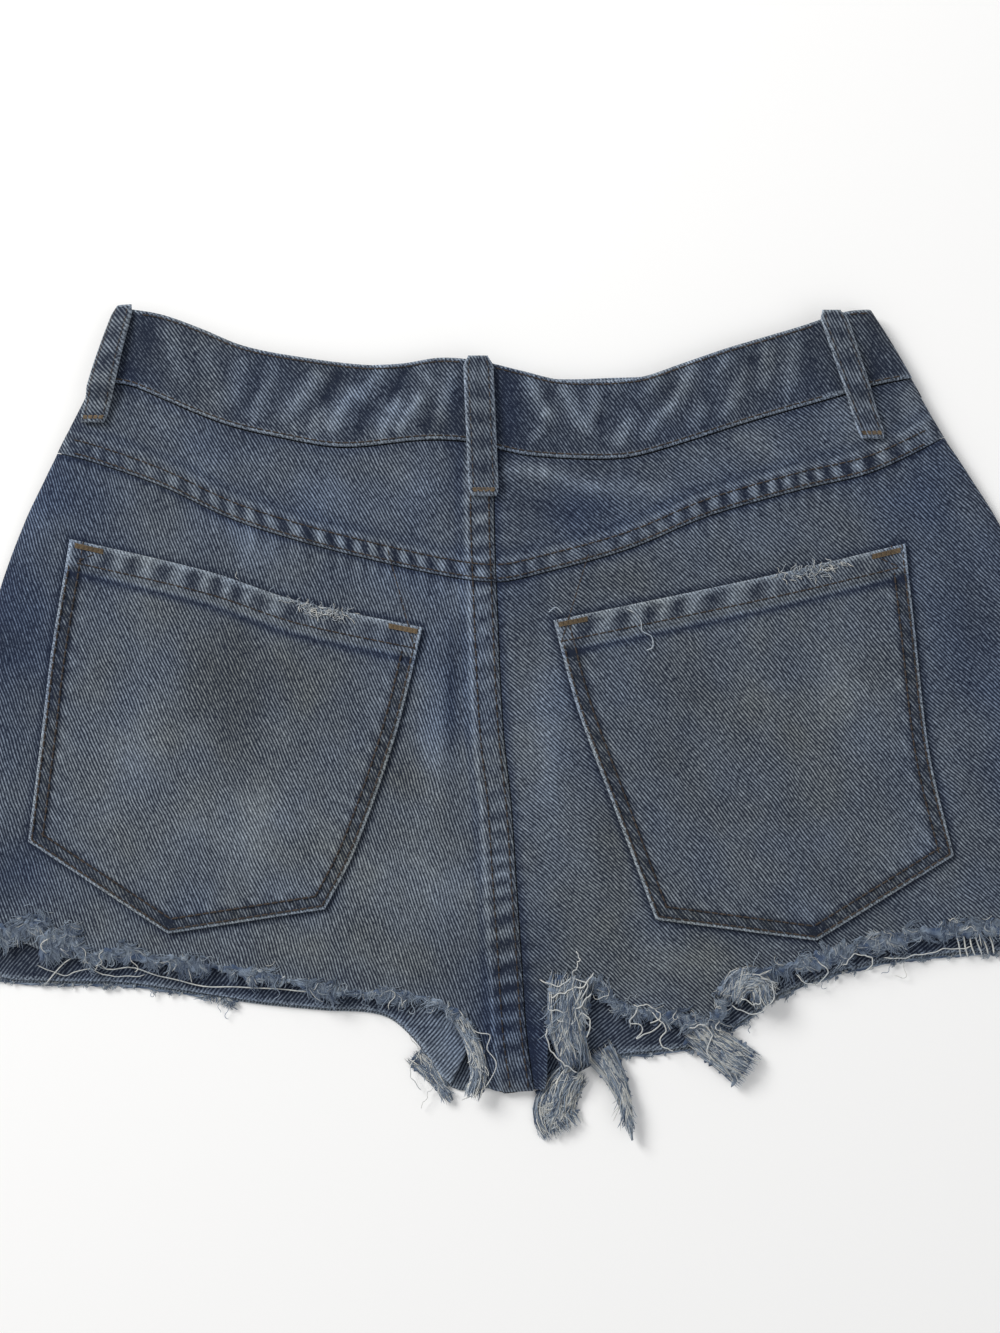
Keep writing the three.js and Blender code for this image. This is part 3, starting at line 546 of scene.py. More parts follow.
class Form:
    """The heights of the garment's two faces, and how its sides turn from one to the other."""

    def __init__(self) -> None:
        """Sets up the outline's curves."""
        heights, lefts, rights = zip(*SIDES)
        self.side = {"left": Curve(heights, lefts), "right": Curve(heights, rights)}
        self.band_top = Curve(*zip(*BAND_TOP))
        self.band_seam = Curve(*zip(*BAND_SEAM))
        self.yoke_seam = Curve(*zip(*YOKE_SEAM))
        self.back_seam = Curve(*zip(*BACK_SEAM))
        self.front_edge = Curve(*zip(*FRONT_EDGE))

    def front_top(self, x: Array | float) -> Array:
        """Top edge of the front waistband."""
        return self.band_top(x) + self.front_edge(x)

    def front_seam(self, x: Array | float) -> Array:
        """Seam under the front waistband."""
        return np.minimum(self.front_top(x) - BAND_HEIGHT, self.band_seam(x) + 1)

    @staticmethod
    def folds(rows: Iterable[Fold], x: Array, y: Array) -> Array:
        """Sum of soft ridges: each a bell curve of the distance to its line.

        Args:
            rows: the folds.
            x: places across.
            y: places up the garment.

        Returns:
            The height that they add.
        """
        total = np.zeros(np.broadcast(x, y).shape)
        for fold in rows:
            total += fold.high * bell(fold.away(x, y), fold.wide)
        return total

    def back_height(self, x: Array, y: Array) -> Array:
        """Outer face of the back: two heights, eased from one to the other, and large folds."""
        near = ease(1 - (self.band_seam(x) - y - BACK_HELD) / BACK_RUN)
        return mix(BACK_LOW, BACK_HIGH, near) + self.folds(LARGE_FOLDS, x, y) * (1 - near)

    def front_height(self, x: Array, y: Array) -> Array:
        """Outer face of the front: on the floor, raised over its loops near the waist."""
        return FRONT_HIGH * ease(1 - (self.front_seam(x) - y - FRONT_HELD) / FRONT_RUN)

    def turn(self, x: Array, y: Array) -> tuple[Array, Array, Array, Array]:
        """The nearest turned edge.

        Args:
            x: places across.
            y: places up the garment.

        Returns:
            Its outward direction, and the sine and cosine of how far the cloth has turned.
        """
        past = np.maximum(np.abs(x - CROTCH_X) - CROTCH_HALF, 0) / CROTCH_FADE
        shares = np.stack(np.broadcast_arrays(
            (x - self.side["left"](y)) / SIDE_TURN,
            (self.side["right"](y) - x) / SIDE_TURN,
            (y - CROTCH_Y) / CROTCH_TURN + past,
        ))
        nearest = shares.argmin(axis=0)
        sine = np.clip(1 - shares.min(axis=0), 0, 1)
        out_x = np.choose(nearest, [-1.0, 1.0, 0.0])
        out_y = np.choose(nearest, [0.0, 0.0, -1.0])
        return out_x, out_y, sine, np.sqrt(1 - sine**2)

    def on(self, face: Face, x: Array, y: Array, off: Array | float) -> Array:
        """Points outside (or, where negative, inside) one of the two outer faces.

        Args:
            face: back or front.
            x: places across.
            y: places up the garment.
            off: distances from the outer face.

        Returns:
            Points, with a last axis of three.
        """
        back, front = self.back_height(x, y), self.front_height(x, y)
        out_x, out_y, sine, cosine = self.turn(x, y)
        if face is Face.BACK:
            middle = (back + front + SEAM_GAP) / 2
            raised = back + self.folds(CREASES, x, y) + off
            z = middle + (raised - middle) * cosine
        else:
            middle = (back + front - SEAM_GAP) / 2
            z = middle - (middle - front + off) * cosine
        return np.stack(np.broadcast_arrays(x + out_x * off * sine, y + out_y * off * sine, z), -1)


FORM = Form()


def garment_shift() -> Array:
    """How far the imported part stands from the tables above, read from the waist button.

    Returns:
        The shift in millimetres along x, y and z.
    """
    low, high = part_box("waist_button")
    middle = (np.array(low) + np.array(high)) / 2 / MM
    x = FRONT_CENTRE + 1
    return middle - (x, float(FORM.front_top(FRONT_CENTRE)) - BAND_HEIGHT / 2, BUTTON_HIGH / 2)


SHIFT = garment_shift()


def packed(node: str) -> tuple[Array, Array]:
    """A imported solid's two corners in the garment's own millimetres."""
    low, high = (np.array(c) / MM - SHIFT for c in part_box(node))
    return low, high


# ---- meshes ------------------------------------------------------------------------------
@dataclass
class Shape:
    """Points and faces in millimetres, with a value of dye and painted shade and a cloth place for
    each point.
    """

    points: Array
    faces: list[Array]
    dye_and_shade: Array | None = None
    cloth: Array | None = None

    @staticmethod
    def joined(shapes: Sequence["Shape"]) -> "Shape":
        """Several shapes as one.

        Args:
            shapes: the shapes, all with dye and cloth places or all without.

        Returns:
            The joined shape.
        """
        starts = np.cumsum([0] + [len(s.points) for s in shapes[:-1]])
        faces = [f + start for s, start in zip(shapes, starts) for f in s.faces]
        dye_and_shade = None if shapes[0].dye_and_shade is None else np.concatenate([s.dye_and_shade for s in shapes])
        cloth = None if shapes[0].cloth is None else np.concatenate([s.cloth for s in shapes])
        return Shape(np.concatenate([s.points for s in shapes]), faces, dye_and_shade, cloth)

    def facing_out(self) -> "Shape":
        """The same shape with its faces turned if its volume comes out negative.

        Returns:
            This shape.
        """
        volume = 0.0
        for faces in self.faces:
            a = self.points[faces[:, 0]]
            for k in range(1, faces.shape[1] - 1):
                b, c = self.points[faces[:, k]], self.points[faces[:, k + 1]]
                volume += float(np.einsum("ij,ij->", a, np.cross(b, c)))
        if volume < 0:
            self.faces = [f[:, ::-1] for f in self.faces]
        return self

    def make(self, name: str) -> bpy.types.Object:
        """The shape as a Blender object in metres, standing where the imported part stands.

        Args:
            name: the piece's name.

        Returns:
            The object, in the scene.
        """
        mesh = bpy.data.meshes.new(name)
        corners = np.concatenate([f.ravel() for f in self.faces]).astype(np.int32)
        sizes = np.concatenate([np.full(len(f), f.shape[1]) for f in self.faces])
        starts = np.concatenate([[0], np.cumsum(sizes)[:-1]]).astype(np.int32)
        mesh.vertices.add(len(self.points))
        mesh.vertices.foreach_set("co", ((self.points + SHIFT) * MM).astype(np.float32).ravel())
        mesh.loops.add(len(corners))
        mesh.loops.foreach_set("vertex_index", corners)
        mesh.polygons.add(len(sizes))
        mesh.polygons.foreach_set("loop_start", starts)
        mesh.polygons.foreach_set("use_smooth", np.ones(len(sizes), bool))
        mesh.update(calc_edges=True)
        if self.cloth is not None:
            layer = mesh.uv_layers.new(name="cloth")
            layer.data.foreach_set("uv", (self.cloth[corners] * MM).astype(np.float32).ravel())
        if self.dye_and_shade is not None:
            colour = np.ones((len(self.points), 4), np.float32)
            colour[:, :3] = np.clip(self.dye_and_shade, 0, 1)
            mesh.attributes.new("dye_and_shade", "FLOAT_COLOR", "POINT").data.foreach_set(
                "color", colour.ravel())
        piece = bpy.data.objects.new(name, mesh)
        bpy.context.scene.collection.objects.link(piece)
        return piece


def cells(index: Array) -> Array:
    """The four corners of every cell of a grid of point numbers."""
    return np.stack([index[:-1, :-1], index[1:, :-1], index[1:, 1:], index[:-1, 1:]],
                    -1).reshape(-1, 4)


def ring_numbers(rings: int, around: int) -> Array:
    """Point numbers of a tube of rings, with the first column once more at the end."""
    index = np.arange(rings * around).reshape(rings, around)
    return np.concatenate([index, index[:, :1]], axis=1)


def lids(ring: Array) -> Array:
    """The two faces that close a tube flat."""
    return np.stack([ring[0, :-1][::-1], ring[-1, :-1]])


def fans(ring: Array, first: int, last: int) -> Array:
    """Triangles that close a tube round its two tips.

    Args:
        ring: the tube's point numbers.
        first: number of the first tip.
        last: number of the last one.

    Returns:
        The triangles, a row each.
    """
    around = ring.shape[1] - 1
    near = np.stack([np.full(around, first), ring[0, 1:], ring[0, :-1]], -1)
    far = np.stack([np.full(around, last), ring[-1, :-1], ring[-1, 1:]], -1)
    return np.concatenate([near, far])


@dataclass
class DyeAndShade:
    """What the wash did to a piece, with painted shade and highlight laid in with it: wash and
    tint from -1 to 1, and wear from 0 to 1.
    """

    wash_and_shade: Array
    tint: Array
    wear: Array

    @staticmethod
    def over(x: Array, y: Array) -> "DyeAndShade":
        """The garment's stains and fade, with painted highlight and shade: a sum of bell curves
        round listed middles.

        Args:
            x: places across.
            y: places up the garment.

        Returns:
            The dye there, with the creases: tops lighter from rubbed wear and painted highlight,
                troughs darker from painted shade.
        """
        wash_and_shade, tint = np.zeros(x.shape), np.zeros(x.shape)
        for spot in STAINS_AND_SHADE:
            weight = bell((x - spot.x) / spot.wide, 1) * bell((y - spot.y) / spot.tall, 1)
            wash_and_shade += spot.wash_and_shade * weight
            tint += spot.tint * weight
        # creases: rubbed wear and painted highlight on the ridges, painted shade in the troughs
        upper = ease((y - CREASE_WEAR_SHADE_FROM) / CREASE_WEAR_SHADE_RUN)
        crease_wear_and_shade = mix(CREASE_WEAR_SHADE_LOW, CREASE_WEAR_SHADE_HIGH, upper) * FORM.folds(CREASES, x, y)
        return DyeAndShade(wash_and_shade + crease_wear_and_shade, tint, np.zeros(x.shape))

    def rope(self, along: Array, away: Array, wide: float, amount: float, pitch: float,
             lean: float = 0.0) -> "DyeAndShade":
        """Light and dark bars where a seam has puckered, faded ridges with painted shade and
        highlight on the puckers: an uneven wave along it, fading away.

        Args:
            along: distance along the seam.
            away: distance from the bars' middle line.
            wide: how far from it they fade.
            amount: how strong they are.
            pitch: from one light bar to the next.
            lean: how far a bar leans along the seam for each millimetre away.

        Returns:
            The same dye.
        """
        place = (along + lean * away) / pitch
        uneven = 0.34 * np.sin(along / 23.0 + pitch) + 0.22 * np.sin(along / 9.7)
        wave = np.sin(2 * np.pi * (place + uneven))
        strength = 0.65 + 0.35 * np.sin(along / 31.0 + 2 * pitch)
        self.wash_and_shade += amount * strength * wave * bell(away, wide)
        return self

    def line(self, away: Array, wide: float, wash_and_shade: float, tint: float = 0.0) -> "DyeAndShade":
        """A line of lighter or darker wash along an edge or seam; the darker ones are painted
        shade in seams, along stitches and beside raised edges.

        Args:
            away: distance from its middle.
            wide: its half width.
            wash_and_shade: what it adds to the wash and painted shade.
            tint: what it adds to the tint.

        Returns:
            The same dye.
        """
        weight = bell(away, wide)
        self.wash_and_shade += wash_and_shade * weight
        self.tint += tint * weight
        return self

    def lines(self, distance: Array, *rows: tuple[float, ...]) -> "DyeAndShade":
        """Several lines beside one edge.

        Args:
            distance: distance from the edge.
            rows: each line's own distance from it, its width, its wash and painted shade, and
                tint.

        Returns:
            The same dye.
        """
        for away, *rest in rows:
            self.line(distance - away, *rest)
        return self

    def rim(self, away: Array, wide: float, amount: float) -> "DyeAndShade":
        """Rubbed rim: bare threads show within a short way of an edge."""
        self.wear = np.maximum(self.wear, amount * bell(away, wide))
        return self

    def stacked(self) -> Array:
        """The three values as one array from 0 to 1, halves being neutral for the first two."""
        return np.stack([0.5 + self.wash_and_shade / 4, 0.5 + self.tint / 2, self.wear], -1)


@dataclass
class Cloth:
    """A thin closed sheet laid along one of the garment's faces."""

    face: Face
    x: Array
    y: Array
    outer: Array | float
    inner: Array | float
    edge: Array
    twill: float
    dye_and_shade: DyeAndShade | None = None
    thick_rim: float = 0.6

    def shape(self) -> Shape:
        """Outer and inner face, which draw together in a half round at the cut edge and share
        its points.

        Returns:
            The closed shape.
        """
        middle, half = (self.outer + self.inner) / 2, (self.outer - self.inner) / 2
        share = 1 - np.clip(self.edge / self.thick_rim, 0, 1)
        half = half * np.sqrt(np.clip(1 - share**2, 0, 1))
        top = FORM.on(self.face, self.x, self.y, middle + half)
        low = FORM.on(self.face, self.x, self.y, middle - half)[1:-1, 1:-1]
        rows, columns = self.x.shape
        index = np.arange(rows * columns).reshape(rows, columns)
        under = index.copy()
        under[1:-1, 1:-1] = rows * columns + np.arange((rows - 2) * (columns - 2)).reshape(
            rows - 2, columns - 2)
        angle = math.radians(self.twill)
        over = -math.sin(angle) * self.x + math.cos(angle) * self.y
        along = math.cos(angle) * self.x + math.sin(angle) * self.y
        flat = np.stack([over, along], -1)
        dye_and_shade = (self.dye_and_shade or DyeAndShade.over(self.x, self.y)).stacked()
        inside = (slice(1, -1), slice(1, -1))
        return Shape(
            np.concatenate([top.reshape(-1, 3), low.reshape(-1, 3)]),
            [np.concatenate([cells(index), cells(under)[:, ::-1]])],
            np.concatenate([dye_and_shade.reshape(-1, 3), dye_and_shade[inside].reshape(-1, 3)]),
            np.concatenate([flat.reshape(-1, 2), flat[inside].reshape(-1, 2)]),
        ).facing_out()

    def cut(self) -> tuple[tuple[float, float], float]:
        """The flat size in metres: its longest row and column, and the area of its middle.

        Returns:
            Width and length, and area.
        """
        points = FORM.on(self.face, self.x, self.y, (self.outer + self.inner) / 2)
        rows = np.linalg.norm(np.diff(points, axis=1), axis=2).sum(axis=1)
        columns = np.linalg.norm(np.diff(points, axis=0), axis=2).sum(axis=0)
        over, on = points[1:, 1:] - points[:-1, :-1], points[1:, :-1] - points[:-1, 1:]
        area = np.linalg.norm(np.cross(over, on), axis=2).sum() / 2
        flat = float(rows.max()) * MM, float(columns.max()) * MM
        return flat, min(float(area) * MM * MM, flat[0] * flat[1])


@dataclass
class Grid:
    """A piece's grid of places, and each one's distance from its four edges."""

    x: Array
    y: Array
    inner: Array
    outer: Array
    upper: Array
    lower: Array

    @staticmethod
    def of(place: Place, columns: Spread, rows: Spread) -> "Grid":
        """Reads a flat piece on lines spread over its own width and height.

        Args:
            place: the piece, by shares across and down.
            columns: lines from its inner to its outer edge.
            rows: lines from its upper to its lower edge.

        Returns:
            The grid.
        """
        i, j = np.meshgrid(np.arange(rows.lines), np.arange(columns.lines), indexing="ij")
        height = np.abs(place(np.float64(0.5), 1.0)[1] - place(np.float64(0.5), 0.0)[1])
        v = rows.at(i, height) / height
        wide = np.abs(place(np.ones_like(v), v)[0] - place(np.zeros_like(v), v)[0])
        over = columns.at(j, wide)
        u = over / wide
        tall = np.abs(place(u, np.ones_like(u))[1] - place(u, np.zeros_like(u))[1])
        under = rows.at(i, tall)
        x, y = place(u, under / tall)
        return Grid(x, y, over, wide - over, under, tall - under)

    @property
    def edge(self) -> Array:
        """Distance from the nearest edge."""
        return np.minimum(np.minimum(self.inner, self.outer), np.minimum(self.upper, self.lower))


# ---- shader maths ----------------------------------------------------------------------------
Value = "Sock | float"


def plug(tree: bpy.types.NodeTree, socket: bpy.types.NodeSocket, value: object) -> None:
    """Links a socket, or sets its value.

    Args:
        tree: the node tree.
        socket: the input.
        value: a Sock to link, or a number, vector or colour.
    """
    if isinstance(value, Sock):
        tree.links.new(value.out, socket)
    else:
        socket.default_value = value


class Sock:
    """A shader socket that adds its Math nodes when it is used in an expression."""

    def __init__(self, tree: bpy.types.NodeTree, out: bpy.types.NodeSocket) -> None:
        """Wraps an output."""
        self.tree, self.out = tree, out

    def math(self, operation: str, *values: Value) -> "Sock":
        """One Math node on these values.

        Args:
            operation: its operation.
            values: numbers or sockets.

        Returns:
            Its result.
        """
        node = self.tree.nodes.new("ShaderNodeMath")
        node.operation = operation
        for socket, value in zip(node.inputs, values):
            plug(self.tree, socket, value)
        return Sock(self.tree, node.outputs[0])

    def __add__(self, other: Value) -> "Sock":
        """Sum."""
        return self.math("ADD", self, other)

    __radd__ = __add__

    def __sub__(self, other: Value) -> "Sock":
        """Difference."""
        return self.math("SUBTRACT", self, other)

    def __rsub__(self, other: Value) -> "Sock":
        """Difference, the other way round."""
        return self.math("SUBTRACT", other, self)

    def __mul__(self, other: Value) -> "Sock":
        """Product."""
        return self.math("MULTIPLY", self, other)

    __rmul__ = __mul__

    def __truediv__(self, other: Value) -> "Sock":
        """Quotient."""
        return self.math("DIVIDE", self, other)

    def __pow__(self, other: Value) -> "Sock":
        """Power."""
        return self.math("POWER", self, other)

    def wave(self) -> "Sock":
        """A wave from 0 to 1 for each whole step."""
        return self.math("SINE", self * (2 * math.pi)) * 0.5 + 0.5

    def held(self, low: float = 0.0, high: float = 1.0) -> "Sock":
        """The value held between two limits."""
        return self.math("MINIMUM", self.math("MAXIMUM", self, low), high)


class Tree:
    """A new material's node tree."""

    def __init__(self, name: str) -> None:
        """Starts a material with only its output and shader.

        Args:
            name: the material's name.
        """
        self.material = bpy.data.materials.new(name)
        self.material.use_nodes = True
        self.tree = self.material.node_tree
        self.shader = self.tree.nodes["Principled BSDF"]

    def node(self, kind: str, settings: dict | None = None, sockets: dict | None = None,
             out: int | str = 0) -> Sock:
        """Adds any node.

        Args:
            kind: its type.
            settings: its own settings, set first.
            sockets: values or links by socket name or number.
            out: which output is wanted.

        Returns:
            That output.
        """
        node = self.tree.nodes.new(kind)
        for key, value in (settings or {}).items():
            setattr(node, key, value)
        for key, value in (sockets or {}).items():
            plug(self.tree, node.inputs[key], value)
        return Sock(self.tree, node.outputs[out])

    def vector(self, x: Value, y: Value, z: Value = 0.0) -> Sock:
        """Three values as one vector."""
        return self.node("ShaderNodeCombineXYZ", None, {0: x, 1: y, 2: z})

    def parts(self, vector: Sock) -> list[Sock]:
        """A vector's three values."""
        split = self.node("ShaderNodeSeparateXYZ", None, {0: vector})
        return [Sock(self.tree, split.out.node.outputs[k]) for k in range(3)]

    def place(self) -> Sock:
        """The place in space."""
        return self.node("ShaderNodeTexCoord", None, None, "Object")

    def dye_and_shade(self) -> list[Sock]:
        """The three values of dye and painted shade."""
        return self.parts(self.node("ShaderNodeAttribute", {"attribute_name": "dye_and_shade"}, None,
                                    "Color"))

    def noise(self, vector: Sock, scale: float = 1.0, detail: float = 0.0,
              distortion: float = 0.0) -> Sock:
        """Smooth noise around a half."""
        return self.node("ShaderNodeTexNoise", {"noise_dimensions": "3D"}, {
            "Vector": vector, "Scale": scale, "Detail": detail, "Distortion": distortion})

    def blend(self, factor: Value, a: object, b: object, kind: str = "MIX") -> Sock:
        """Two colours mixed."""
        return self.node("ShaderNodeMix", {"data_type": "RGBA", "blend_type": kind},
                         {0: factor, 6: a, 7: b}, 2)

    def finish(self, colour: object, roughness: object, bump: Sock | None = None,
               depth: float = 0.0, **constants: object) -> bpy.types.Material:
        """Plugs the shader.

        Args:
            colour: base colour.
            roughness: roughness.
            bump: height of the fine relief, from 0 to 1.
            depth: how high that is, in metres.
            constants: other inputs of the shader, by name with underscores.

        Returns:
            The material.
        """
        plug(self.tree, self.shader.inputs["Base Color"], colour)
        plug(self.tree, self.shader.inputs["Roughness"], roughness)
        for key, value in constants.items():
            self.shader.inputs[key.replace("_", " ")].default_value = value
        if bump is not None:
            normal = self.node("ShaderNodeBump", None, {
                "Strength": 1.0, "Distance": depth, "Height": bump})
            plug(self.tree, self.shader.inputs["Normal"], normal)
        return self.material


Colour = tuple[float, float, float, float]


def hue(red: float, green: float, blue: float) -> Colour:
    """A linear colour."""
    return red, green, blue, 1.0


@dataclass(frozen=True)
class Denim:
    """Washed denim: light weft between dark warp ridges in twill lines, slubs, wash with painted
    shade and highlight, and wear.
    """

    name: str
    base: float = 0.155
    pitch: float = 1.25
    lines: float = 0.50
    grain: float = 0.42
    deep: Colour = hue(0.009, 0.014, 0.028)
    pale: Colour = hue(0.385, 0.430, 0.485)
    blue: Colour = hue(0.80, 0.96, 1.24)
    olive: Colour = hue(1.12, 1.06, 0.86)
    slub_turn: float = 27.0

    def build(self) -> bpy.types.Material:
        """Adds the nodes.

        The share of light thread is its mean, plus wash with painted shade and highlight, clouds,
        slubs, twill lines and grain.

        Returns:
            The material.
        """
        tree = Tree(self.name)
        place = tree.node("ShaderNodeVectorMath", {"operation": "SCALE"}, {
            0: tree.node("ShaderNodeUVMap", {"uv_map": "cloth"}), "Scale": 1 / MM})
        over, along, _ = tree.parts(place)
        dye_and_shade = tree.dye_and_shade()
        wash_and_shade = (dye_and_shade[0] - 0.5) * 4.0
        cloud = tree.noise(place, 0.045, 3.0) - 0.5
        blot = tree.noise(place, 0.21, 2.0) - 0.5
        wander = tree.noise(place, 0.07, 1.0)
        turned = math.radians(self.slub_turn)
        thread = tree.vector((over * math.cos(turned) - along * math.sin(turned)) * 0.75,
                             (over * math.sin(turned) + along * math.cos(turned)) * 0.035)
        slub = tree.noise(thread, 1.0, 1.0) - 0.5
        ridge = (over / self.pitch + wander * 1.6).wave()
        dash = tree.noise(tree.vector(over * 0.75, along * 0.5), 1.0, 1.0)
        speck = tree.noise(place, 1.5, 1.0) - 0.5
        lines = (ridge ** 1.5 * (dash * 2.4 - 0.2) - 0.38) * self.lines
        light = (wash_and_shade * 0.20 + cloud * 0.20 + blot * 0.12 + slub * 0.13 + self.base
                 + lines * (wash_and_shade * 0.35 + 0.95) + speck * self.grain)
        bare = dye_and_shade[2] * (speck * 1.5 + dash * 0.5 + 0.15).held()
        share = (light + bare).held()
        tint = ((dye_and_shade[1] - 0.5) * 1.1 + (tree.noise(place, 0.03, 2.0) - 0.5) * 0.8 + 0.5).held()
        colour = tree.blend(1.0, tree.blend(share, self.deep, self.pale),
                            tree.blend(tint, self.blue, self.olive), "MULTIPLY")
        relief = ridge * 0.55 + speck * 0.35 + slub * 0.3
        return tree.finish(colour, 0.92, relief, 0.00016, Specular_IOR_Level=0.22,
                           Sheen_Weight=0.08, Sheen_Roughness=0.5)


@dataclass(frozen=True)
class Cotton:
    """Loose threads and lint, from blue to white by the dye's first value."""

    name: str = "loose_cotton"
    blue: Colour = hue(0.050, 0.078, 0.140)
    grey: Colour = hue(0.270, 0.330, 0.410)
    white: Colour = hue(0.700, 0.695, 0.650)

    def build(self) -> bpy.types.Material:
        """Adds the nodes: three colours mixed by the dye, with fine fibres of noise.

        Returns:
            The material.
        """
        tree = Tree(self.name)
        place = tree.place()
        pale = tree.dye_and_shade()[0]
        fibre = tree.noise(place, 900.0, 2.0, 2.5) - 0.5
        tuft = tree.noise(place, 160.0, 2.0, 1.0) - 0.5
        share = (pale * 2.0 + fibre * 0.6 + tuft * 0.9).held(0.0, 2.0)
        low = tree.blend(share.held(), self.blue, self.grey)
        colour = tree.blend((share - 1.0).held(), low, self.white)
        return tree.finish(colour, 0.95, fibre + tuft, 0.0004, Specular_IOR_Level=0.15,
                           Sheen_Weight=0.12)


@dataclass(frozen=True)
class Thread:
    """Sewing thread: twisted plies along the stitch."""

    name: str
    dull: Colour
    bright: Colour

    def build(self) -> bpy.types.Material:
        """Adds the nodes: two colours mixed by fine and coarse noise.

        Returns:
            The material.
        """
        tree = Tree(self.name)
        place = tree.place()
        ply = tree.noise(place, 2600.0, 1.0)
        faded = tree.noise(place, 90.0, 2.0)
        colour = tree.blend((ply * 0.9 + faded * 1.4 - 0.65).held(), self.dull, self.bright)
        return tree.finish(colour, 0.75, ply, 0.00008, Specular_IOR_Level=0.3)


@dataclass(frozen=True)
class Tape:
    """Woven zip tape: fine ribs."""

    name: str = "woven_tape"
    colour: Colour = hue(0.022, 0.027, 0.038)
    worn: Colour = hue(0.055, 0.062, 0.078)

    def build(self) -> bpy.types.Material:
        """Adds the nodes: a rib every 0.7 mm and a soft mottle.

        Returns:
            The material.
        """
        tree = Tree(self.name)
        place = tree.place()
        x, y, _ = tree.parts(place)
        rib = (y / 0.0007).wave() * (x / 0.0009).wave()
        mottle = tree.noise(place, 300.0, 2.0)
        colour = tree.blend((rib * 0.6 + mottle * 0.6).held(), self.colour, self.worn)
        return tree.finish(colour, 0.85, rib, 0.00012)


@dataclass(frozen=True)
class Metal:
    """Aged metal: brighter where it is rubbed, duller in blots."""

    name: str
    bright: Colour
    dull: Colour

    def build(self) -> bpy.types.Material:
        """Adds the nodes: colour and roughness from two noises.

        Returns:
            The material.
        """
        tree = Tree(self.name)
        place = tree.place()
        blot = tree.noise(place, 420.0, 3.0)
        scratch = tree.noise(place, 2400.0, 1.0)
        old = (blot * 1.8 - 0.4).held()
        colour = tree.blend(old, self.bright, self.dull)
        return tree.finish(colour, (old * 0.3 + scratch * 0.2 + 0.22).held(), scratch, 0.00003,
                           Metallic=1.0)


# ---- the workroom: one place that makes and dresses every piece ---------------------------------
class Slot(Enum):
    """Material slots."""

    DENIM = "denim"
    BAND = "band_denim"
    INNER = "inner_denim"
    FRAY = "fray"
    TAPE = "zip_tape"
    ZIP = "zip_metal"
    BUTTON = "button_metal"


@dataclass
class Workroom:
    """Keeps the finishes and hands out finished pieces."""

    finishes: dict[str, bpy.types.Material] = field(default_factory=dict)
    total: int = 0

    def __post_init__(self) -> None:
        """Builds each finish once."""
        kinds = (
            Denim("washed_denim"),
            Denim("band_denim", base=0.115),
            Denim("inner_denim", base=0.12, pitch=1.4, lines=0.48, grain=0.38),
            Cotton(), Tape(),
            Thread("brown_thread", hue(0.010, 0.009, 0.010), hue(0.068, 0.050, 0.040)),
            Thread("tan_thread", hue(0.030, 0.022, 0.015), hue(0.215, 0.155, 0.090)),
            Metal("zip_brass", hue(0.60, 0.47, 0.26), hue(0.22, 0.17, 0.10)),
            Metal("button_brass", hue(0.52, 0.38, 0.20), hue(0.20, 0.13, 0.08)),
        )
        self.finishes = {kind.name: kind.build() for kind in kinds}

    def piece(self, name: str, shape: Shape, slot: Slot, finish: str,
              nodes: Sequence[str] = ()) -> bpy.types.Object:
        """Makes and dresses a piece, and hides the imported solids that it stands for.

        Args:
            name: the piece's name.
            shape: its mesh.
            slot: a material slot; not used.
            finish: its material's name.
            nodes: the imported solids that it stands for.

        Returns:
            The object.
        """
        piece = shape.make(name)
        piece.data.materials.append(self.finishes[finish])
        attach(piece, "root")
        if nodes:
            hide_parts(*nodes)
        faces = sum(len(f) * (f.shape[1] - 2) for f in shape.faces)
        self.total += faces
        LOG.info("%s: %d triangles, %d so far", name, faces, self.total)
        return piece

    def stitched(self, name: str, rows: Sequence, slot: Slot, finish: str) -> bpy.types.Object:
        """Rows of stitches as one piece.

        Args:
            name: the piece's name.
            rows: objects whose shape method gives a row's mesh.
            slot: a material slot.
            finish: its material's name.

        Returns:
            The object.
        """
        return self.piece(name, Shape.joined([row.shape() for row in rows]), slot, finish)

    def sheet(self, name: str, cloth: Cloth, slot: Slot, finish: str, rests_on: Sequence[str],
              with_pieces: Sequence[bpy.types.Object] = (), wide: float = 0.0
              ) -> bpy.types.Object:
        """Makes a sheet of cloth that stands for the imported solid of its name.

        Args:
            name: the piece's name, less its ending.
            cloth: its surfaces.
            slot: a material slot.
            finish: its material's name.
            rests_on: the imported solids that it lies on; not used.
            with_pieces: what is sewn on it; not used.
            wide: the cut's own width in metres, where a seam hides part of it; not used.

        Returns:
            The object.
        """
        piece = self.piece(f"{name}_cloth", cloth.shape(), slot, finish, [name])
        flat, area = cloth.cut()
        flat = (max(flat[0], wide), flat[1])
        list(rests_on)
        return piece


# ---- stitches ------------------------------------------------------------------------------
@dataclass(frozen=True)
class StitchRow:
    """A row of stitches: short capsules, one after another, along a path on a face."""

    path: Path
    off: float
    face: Face = Face.BACK
    start: float = 0.0
    end: float = 1.0
    pitch: float = 3.3
    long: float = 2.9
    radius: float = 0.33
    sides: int = 5

    def shape(self) -> Shape:
        """Each stitch is a small ring of sides carried through four stations, closed at its ends.

        Returns:
            All the row's stitches.
        """
        count = max(int(self.path.length * (self.end - self.start) / self.pitch), 1)
        middles = self.start + (np.arange(count) + 0.5) / count * (self.end - self.start)
        reach = self.long / 2 / self.path.length
        ends = [np.array(self.path(np.clip(middles + way * reach, 0, 1))) for way in (-1, 1)]
        a, b = (FORM.on(self.face, p[0], p[1], self.off) for p in ends)
        return rods(a, b, self.radius, self.sides)


